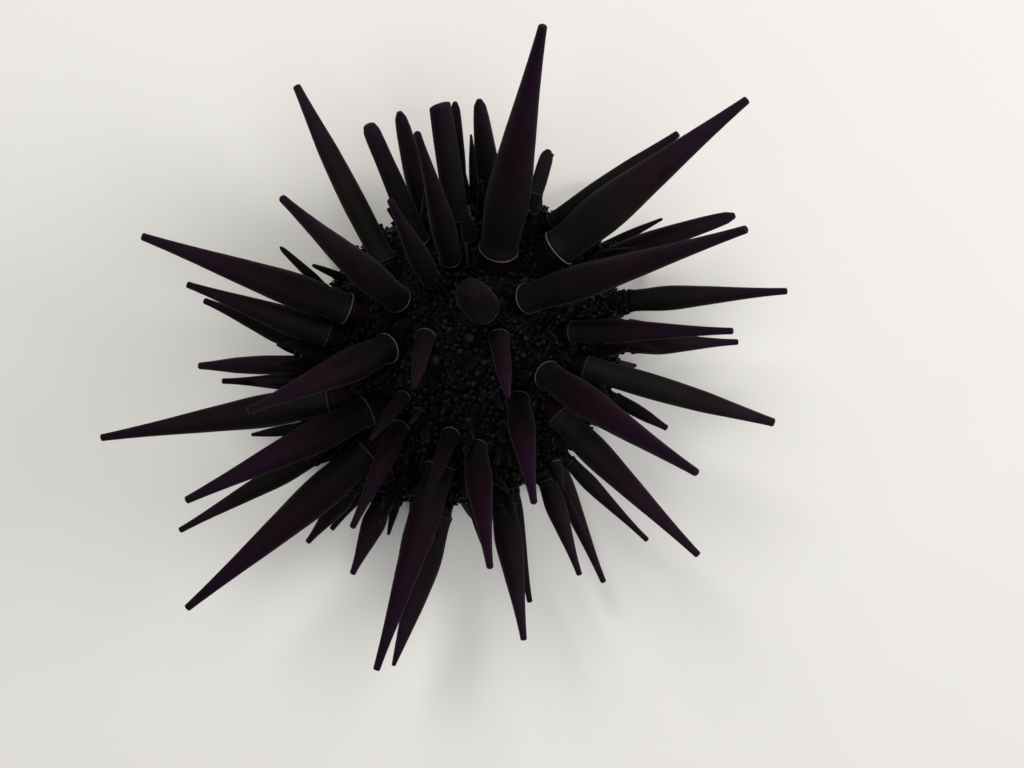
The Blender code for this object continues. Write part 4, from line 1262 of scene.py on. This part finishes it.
class Look:
    """A procedural material, built up step by step."""

    def __init__(self, name):
        self.material = bpy.data.materials.new(name)
        self.material.use_nodes = True
        self.tree = self.material.node_tree
        self.shader = self.tree.nodes["Principled BSDF"]

    def give(self, socket, value):
        """A link, a number or a colour for a socket."""
        if isinstance(value, (int, float)):
            socket.default_value = value
        elif isinstance(value, tuple):
            socket.default_value = (*value, 1.0)
        else:
            self.tree.links.new(value, socket)

    def node(self, kind, **values):
        """A node with values for its named sockets."""
        made = self.tree.nodes.new("ShaderNode" + kind)
        for name, value in values.items():
            self.give(made.inputs[name], value)
        return made

    def maths(self, operation, *values, clamp=False):
        """One step of arithmetic between sockets or numbers."""
        made = self.node("Math")
        made.operation = operation
        made.use_clamp = clamp
        for socket, value in zip(made.inputs, values):
            self.give(socket, value)
        return made.outputs[0]

    def line(self, start, gain, value, clamp=False):
        """The value times gain, plus start."""
        return self.maths("MULTIPLY_ADD", value, gain, start, clamp=clamp)

    def product(self, first, *others):
        """All values multiplied."""
        for value in others:
            first = self.maths("MULTIPLY", first, value)
        return first

    def mixed(self, share, one, two):
        """A colour between two, each a socket or a colour."""
        made = self.node("Mix")
        made.data_type = "RGBA"
        colours = [socket for socket in made.inputs if socket.type == "RGBA"]
        for socket, value in zip((made.inputs[0], *colours), (share, one, two)):
            self.give(socket, value)
        return [socket for socket in made.outputs if socket.type == "RGBA"][0]

    def ramp(self, value, stops):
        """The colour that a row of stops has at a value."""
        made = self.node("ValToRGB", Fac=value)
        points = made.color_ramp.elements
        while len(points) < len(stops):
            points.new(0.5)
        for point, (place, colour) in zip(points, stops):
            point.position = place
            point.color = (*colour, 1.0)
        return made.outputs[0]

    def band(self, value, *stops):
        """The grey that a row of stops has at a value."""
        return self.ramp(value, [(place, (grey,) * 3) for place, grey in stops])

    def mark(self, name):
        """One of the mesh's own marks."""
        made = self.node("Attribute")
        made.attribute_name = name
        return made.outputs["Fac"]

    def wave(self, operation):
        """A wave from 0 to 1 that follows the turns of the grain."""
        grain = self.node("UVMap")
        grain.uv_map = "grain"
        split = self.node("SeparateXYZ", Vector=grain.outputs[0])
        turn = self.maths("MULTIPLY", split.outputs[0], 2 * math.pi)
        return self.line(0.5, 0.5, self.maths(operation, turn))

    def place(self):
        """The object's own space."""
        return self.node("TexCoord").outputs["Object"]

    def cloud(self, scale, detail=3.0, roughness=0.55, stretch=None):
        """Noise, stretched if wanted."""
        place = self.place()
        if stretch:
            mapping = self.node("Mapping", Vector=place)
            mapping.inputs["Scale"].default_value = stretch
            place = mapping.outputs[0]
        made = self.node("TexNoise", Scale=scale, Detail=detail, Roughness=roughness, Vector=place)
        return made.outputs["Fac"]

    def cells(self, scale):
        """Distance and colour of a pattern of cells."""
        return self.node("TexVoronoi", Scale=scale, Vector=self.place()).outputs

    def sheen(self, weight):
        """A faint sheen."""
        self.give(self.shader.inputs["Sheen Weight"], weight)
        self.give(self.shader.inputs["Sheen Roughness"], 0.30)

    def finish(self, colour, rough, specular, height=None, depth=0.0, strength=1.0):
        """The material, with its colour, its gloss and a relief whose depth is in millimetres."""
        self.give(self.shader.inputs["Base Color"], colour)
        self.give(self.shader.inputs["Roughness"], rough)
        self.give(self.shader.inputs["Specular IOR Level"], specular)
        if height is not None:
            relief = self.node("Bump", Strength=strength, Distance=depth * MM, Height=height)
            self.tree.links.new(relief.outputs[0], self.shader.inputs["Normal"])
        return self.material


def shaft_material():
    """Dull dark base, violet middle and near-black tip, with fine ridges along it."""
    look = Look("spine_shaft")
    along = look.maths("ADD", look.mark("along"), look.line(-0.08, 0.16, look.mark("tone")))
    wander = look.line(-0.55, 1.1, look.cloud(170.0, 2.0))
    share = look.maths("ADD", look.mark("tint"), wander, clamp=True)
    colour = look.mixed(share, look.ramp(along, SHAFT_DULL), look.ramp(along, SHAFT_BRIGHT))
    ridge = look.wave("SINE")
    cloud = look.cloud(900.0, 4.0)
    blotch = look.line(0.6, 0.8, look.cloud(260.0, 2.0))
    # Brightness of the colour: random mottling and ridge stripes, times the spine's painted light and shade
    # from its mark
    lit = look.product(look.line(0.72, 0.56, cloud), look.line(0.86, 0.22, ridge), blotch, look.mark("painted_light"))
    scaled = look.node("VectorMath")
    scaled.operation = "SCALE"
    look.give(scaled.inputs[0], colour)
    look.give(scaled.inputs["Scale"], lit)
    colour = look.mixed(look.maths("MULTIPLY", look.mark("bare"), 0.8), scaled.outputs[0], CUT_TAN)
    look.sheen(0.035)
    look.give(look.shader.inputs["Sheen Tint"], (0.80, 0.76, 0.74))
    height = look.maths("MULTIPLY_ADD", ridge, 0.8, look.maths("MULTIPLY", cloud, 0.5))
    return look.finish(colour, look.line(0.46, 0.2, cloud), 0.035, height, 0.02, 0.8)


def small_spine_material():
    """The short spines: dark brown-grey with a few that turn violet towards the tip."""
    look = Look("short_spine")
    along = look.mark("along")
    tipped = look.mixed(look.maths("GREATER_THAN", look.mark("tint"), 0.72), SHORT_GREY, SHORT_VIOLET)
    colour = look.mixed(look.line(-0.42, 1.4, along, True), SHORT_FOOT, tipped)
    rim = look.band(along, (0.02, 0.0), (0.07, 1.0), (0.13, 1.0), (0.2, 0.0))
    colour = look.mixed(look.maths("MULTIPLY", rim, look.mark("tone")), colour, SHORT_RIM)
    cloud = look.cloud(1300.0)
    look.sheen(0.02)
    return look.finish(colour, look.line(0.4, 0.25, cloud), 0.05, cloud, 0.02, 0.6)


def ring_material():
    """Pale bare edge with dark grooves between the teeth."""
    look = Look("milled_ring")
    crest = look.wave("COSINE")
    band = look.band(look.mark("along"), (0.0, 0.05), (0.25, 0.5), (0.5, 1.0), (0.72, 0.7), (0.95, 0.03))
    stain = look.cloud(300.0, 2.0)
    patchy = look.line(0.35, 0.65, look.line(-1.296, 3.6, stain, True))
    share = look.product(look.line(0.3, 0.7, crest), band, patchy, look.mark("tint"))
    colour = look.mixed(share, RING_GROOVE, RING_PALE)
    return look.finish(colour, look.line(0.35, 0.3, stain), 0.2, crest, 0.02, 0.6)


def muscle_material():
    """Brown-red fibres that run from the test up to the ring."""
    look = Look("muscle")
    cloud = look.cloud(1400.0)
    fibre = look.wave("SINE")
    share = look.product(look.line(0.35, 0.65, fibre), look.cloud(300.0, 2.0), look.line(0.7, 1.2, cloud))
    colour = look.mixed(share, MUSCLE_DARK, MUSCLE_RED)
    return look.finish(colour, look.line(0.4, 0.25, cloud), 0.05, look.line(fibre, 0.6, cloud), 0.03, 0.8)


def skin_material(name, dark, brown, grain_scale):
    """Blackish skin with brown patches, and specks of teal and olive."""
    look = Look(name)
    fine = look.cloud(grain_scale, 4.0, 0.6)
    specks = look.cells(1100.0)
    pick = look.node("SeparateColor", Color=specks["Color"])
    spot = look.maths("LESS_THAN", specks["Distance"], 0.24)
    rare = look.product(spot, look.maths("GREATER_THAN", pick.outputs[0], 0.72), 0.5)
    ground = look.mixed(look.maths("MULTIPLY", look.cloud(230.0, 4.0, 0.6), fine), dark, brown)
    colour = look.mixed(rare, ground, look.mixed(pick.outputs[1], OLIVE, TEAL))
    domes = look.line(1.0, -1.0, look.maths("POWER", look.cells(2300.0)["Distance"], 2.0))
    return look.finish(colour, look.line(0.5, 0.3, fine), 0.05, look.line(domes, 0.5, fine), 0.22, 1.0)


def knob_material():
    """Small knobs: dark stalks with heads that vary from black to teal, olive and brown."""
    look = Look("knob")
    top = look.line(-1.35, 3.0, look.mark("along"), True)
    colour = look.mixed(top, KNOB_STALK, look.ramp(look.mark("tone"), KNOB_HEADS))
    cloud = look.cloud(1500.0, 2.0)
    return look.finish(colour, look.line(0.3, 0.3, cloud), 0.06, cloud, 0.03, 0.6)


def feeler_material():
    """Tube feet: dark violet-brown, ringed, with a paler disc."""
    look = Look("tube_foot")
    tone = look.mark("tone")
    body = look.ramp(look.mark("along"), FOOT_BODY)
    colour = look.mixed(look.maths("MULTIPLY", tone, 0.5), body, FOOT_DARK)
    colour = look.mixed(look.maths("GREATER_THAN", tone, 0.98), colour, FOOT_BLUE)
    cloud = look.cloud(1300.0, 2.0)
    return look.finish(colour, look.line(0.3, 0.25, cloud), 0.08, cloud, 0.02, 0.5)


def tooth_material():
    """Off-white enamel, a little stained towards the gum."""
    look = Look("tooth_enamel")
    cloud = look.cloud(500.0, 3.0, 0.5, (1.0, 1.0, 0.25))
    colour = look.mixed(cloud, ENAMEL_STAINED, ENAMEL)
    return look.finish(colour, look.line(0.18, 0.2, cloud), 0.5, cloud, 0.03, 0.5)


def round_rows(steps, columns, point):
    """Rows of points that each run once round, one row for each step."""
    turns = [2 * math.pi * k / columns for k in range(columns)]
    return [[tuple(point(step, turn)) for turn in turns] for step in steps]


def hump(x, width):
    """Height from 1 at the middle down to 0 away from it."""
    return math.exp(-((x / width) ** 2))


def skin(spines, material):
    """The whole test's skin, raised into a low mound under each spine."""
    seats = KDTree(len(spines))
    for k, spine in enumerate(spines):
        seats.insert(seat_of(*spine[:3])[0], k)
    seats.balance()
    mouth = math.pi - math.asin((MOUTH_RADIUS + 0.1 * MM) / (TEST_LENGTH / 2))
    polars = np.linspace(0.02, mouth, SKIN_ROWS)

    def point(polar, azimuth):
        """Point of the skin, rough and raised near a spine."""
        p = on_test(azimuth, polar)
        if polar == polars[-1]:
            p = around(azimuth, MOUTH_RADIUS + 0.15 * MM, p.z)
        rise = 0.10 * MM * noise.noise(p * COARSE_NOISE) + 0.05 * MM * noise.noise(p * FINEST_NOISE)
        for co, index, apart in seats.find_range(p, MOUND_SEARCH):
            half = spines[index][2] / 2
            share = apart / (MOUND_REACH * half)
            if share < 1.0:
                rise = max(rise, MOUND_RISE * half * (1 - share**2))
        return p + outward(p) * (rise - SKIN_INSET)

    rows = round_rows(polars, SKIN_COLUMNS, point)
    edge = rows[-1]
    for lift, out in ((0.35, -0.05), (0.9, 0.1), (1.6, 0.3)):
        shares = [1 + out * MM / math.hypot(x, y) for x, y, z in edge]
        rows.append([(x * t, y * t, z + lift * MM) for t, (x, y, z) in zip(shares, edge)])
    return grid_mesh("test_skin", rows, material, True, False)


def disc_point(share, azimuth):
    """Five plates with pores round the vent, and five small ones between them."""
    reach = APICAL_RADIUS * share
    part = ((azimuth - LONG_AXIS_AZIMUTH) / FIFTH) % 1.0
    seam = min(part, 1 - part) * FIFTH * reach
    cut = hump(seam, 0.10 * MM) if share > 0.42 else 0.0
    small = math.hypot(reach - 0.93 * APICAL_RADIUS, seam)
    if share > 0.7 and small < 0.75 * MM:
        cut = hump(small - 0.55 * MM, 0.08 * MM)
    pore = math.hypot(abs(part - 0.5) * FIFTH * reach, reach - 0.74 * APICAL_RADIUS)
    height = 0.12 + 0.2 * (1 - share**2) - 0.07 * cut
    height -= 0.05 * hump(share - 0.42, 0.035) + 0.10 * hump(pore, 0.14 * MM)
    if share < 0.4:
        height += 0.03 * math.cos(14 * azimuth) * math.cos(share * 60) - 0.15 * hump(share, 0.12)
    height += 0.12 * noise.noise(around(azimuth, reach) * FINE_NOISE)
    height -= 0.42 * min(1.0, max(0.0, (share - 0.7) / 0.27)) ** 2
    if share > 0.985:
        height = -0.8
    return around(azimuth, reach, APEX.z + height * MM)


def mouth_point(share, azimuth):
    """Pleated membrane with small plates, from the test's rim in to the lips."""
    reach = MOUTH_RADIUS * share
    height = 0.9 * max(0.0, (share - 0.62) / 0.38) ** 2 + 0.9 * max(0.0, (0.3 - share) / 0.07)
    height += 0.07 * math.sin(40 * azimuth) * hump(share - 0.45, 0.2) - 0.35 * hump(share - 0.36, 0.07)
    height += 0.16 * noise.noise(around(azimuth, reach) * FINE_NOISE)
    return around(azimuth, reach, MOUTH_LOW + height * MM)


def mouth_skin(material):
    """The membrane round the mouth, turned in at the lips and under the test's rim."""
    rows = round_rows(np.linspace(1.0, 0.23, 47), 240, mouth_point)
    rows.append([(x * 0.9, y * 0.9, MOUTH_LOW + 2.2 * MM) for x, y, z in rows[-1]])
    rows.insert(0, [(x * 1.03, y * 1.03, z + 0.9 * MM) for x, y, z in rows[0]])
    return grid_mesh("mouth_skin", rows, material, False, True)


def teeth(material):
    """Five keeled teeth, each curved in to a point at the middle."""
    for k in range(TEETH):
        azimuth = FIFTH * (k + 0.5)
        radial = around(azimuth)
        across = Vector((-radial.y, radial.x, 0.0))

        def point(t, turn):
            """Point of the tooth, t from root to tip."""
            x = math.cos(turn)
            y = math.sin(turn)
            thick = 0.30 * MM * (1 - 0.72 * t**2)
            keel = 0.6 * thick * hump(y, 0.35) if x < 0 else 0.0
            place = (1.6 - 1.05 * t**2.2) * MM + thick * x - keel
            p = radial * place + across * (0.62 * MM * (1 - 0.75 * t**3) * y)
            return p.x, p.y, MOUTH_LOW + 1.5 * MM * (1 - t) - TOOTH_REACH * t

        rows = round_rows(np.linspace(0, 1, 23), 28, point)
        item = grid_mesh("tooth_%d_enamel" % (k + 1), rows, material, True, True)
        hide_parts("tooth_%d" % (k + 1))


def group_of(number, kind, in_solids):
    """Name of the piece that a spine belongs to."""
    if number >= in_solids:
        return "spines_filling"
    if kind != "under":
        return "spines_" + kind
    return "spines_flank" if number < PICTURED else "spines_low"


def dress():
    """Every piece of the animal."""
    spines, kept = lay_out()
    spines = fitted(spines)
    in_solids = len(spines)
    seen = discs_of(spines)
    draw = random.Random(DRAWN_SEED)
    spines += filling(kept, seen, draw)
    shaft = shaft_material()
    small = small_spine_material()
    rings = ring_material()
    muscle = muscle_material()
    for name in ("spines_seen", "spines_low", "spines_flank", "spines_short", "spines_filling"):
        members = [k for k, spine in enumerate(spines) if group_of(k, spine[5], in_solids) == name]
        batch = Batch()
        for index, number in enumerate(members):
            main_shaft(batch, spines[number], number, draw, strip_patch(index, len(members)))
        batch.done(name, small if name == "spines_short" else shaft, "test_and_spines")
    names = ("milled_rings", "small_rings", "muscle_collars")
    names += ("short_spines", "knobs", "knobs_below", "tube_feet")
    batches = {name: Batch() for name in names}
    for number, spine in enumerate(spines):
        if spine[2] > RING_LEAST_GIRTH:
            batch = batches["small_rings" if number >= in_solids else "milled_rings"]
            milled_ring(batch, spine, number, draw)
        collar(batches["muscle_collars"], spine, draw)
    for name, material in (("milled_rings", rings), ("small_rings", rings), ("muscle_collars", muscle)):
        batches[name].done(name, material, "test_and_spines")
    cover = skin(spines, skin_material("test_skin", SKIN_DARK, SKIN_BROWN, 1700.0))
    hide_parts(*["ray%d_%s" % (k + 1, part) for k in range(5) for part in ("upper", "lower")])
    seen_forms(batches, draw)
    near = Near(kept)
    short_spines(batches["short_spines"], near, seen, draw)
    granules(batches, near, seen, draw)
    tube_feet(batches["tube_feet"], near, seen, draw)
    mouth_fringe(batches["tube_feet"], draw)
    batches["short_spines"].done("short_spines", small, "test_and_spines")
    heads = knob_material()
    for name in ("knobs", "knobs_below"):
        batches[name].done(name, heads, "test_and_spines")
    batches["tube_feet"].done("tube_feet", feeler_material(), "membrane")
    rows = round_rows([1.0 - k / 45 for k in range(45)], 180, disc_point)
    disc_look = skin_material("disc_skin", DISC_DARK, DISC_BROWN, 2400.0)
    disc = grid_mesh("apical_plates", rows, disc_look, False, True)
    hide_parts("apical_disc")
    mouth = mouth_skin(skin_material("mouth_membrane_skin", MEMBRANE_DARK, MEMBRANE_RED, 1500.0))
    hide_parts("mouth_membrane")
    teeth(tooth_material())


def look_through():
    """Camera at the photograph's angle."""
    data = bpy.data.cameras.new("camera")
    data.sensor_width = 36.0
    data.lens = data.sensor_width / 2 / math.tan(FIELD_OF_VIEW / 2)
    data.clip_start = 0.001
    data.clip_end = 10.0
    camera = added("camera", data)
    turn = Matrix((VIEW_RIGHT, VIEW_UP, VIEW_BACK)).transposed().to_4x4()
    camera.matrix_world = Matrix.Translation(VIEWPOINT + SHIFT) @ turn
    bpy.context.scene.camera = camera


def studio():
    """Plain pale floor and soft light."""
    bpy.ops.mesh.primitive_plane_add(size=3.0, location=(0.0, 0.0, 0.0))
    floor = bpy.context.object
    floor.name = "floor"
    look = Look("floor")
    colour = look.mixed(look.maths("MULTIPLY", look.cloud(60.0), 0.35), FLOOR_PALE, FLOOR_DIM)
    floor.data.materials.append(look.finish(colour, 0.7, 0.2))
    for name, place, size, power, colour in LIGHTS:
        data = bpy.data.lights.new(name, "AREA")
        data.shape = "DISK"
        data.size = size
        data.energy = power
        data.color = colour
        light = added(name, data)
        light.location = place
        aim = Vector((0.0, 0.0, 0.015)) - Vector(place)
        light.rotation_euler = aim.to_track_quat("-Z", "Y").to_euler()
    world = bpy.data.worlds.new("studio")
    world.use_nodes = True
    back = world.node_tree.nodes["Background"]
    back.inputs["Color"].default_value = (0.92, 0.94, 0.96, 1.0)
    back.inputs["Strength"].default_value = 0.20
    bpy.context.scene.world = world
    bpy.context.scene.view_settings.view_transform = "Standard"


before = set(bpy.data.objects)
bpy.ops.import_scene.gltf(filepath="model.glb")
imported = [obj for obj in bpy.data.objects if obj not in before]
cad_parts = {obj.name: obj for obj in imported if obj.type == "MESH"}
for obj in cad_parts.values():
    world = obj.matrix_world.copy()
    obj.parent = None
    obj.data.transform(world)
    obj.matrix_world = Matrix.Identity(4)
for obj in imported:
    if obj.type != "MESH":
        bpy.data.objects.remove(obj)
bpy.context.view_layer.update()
disc_low, disc_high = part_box("apical_disc")
SHIFT = Vector(((disc_low[0] + disc_high[0]) / 2, (disc_low[1] + disc_high[1]) / 2, 0.0))
dress()
look_through()
studio()
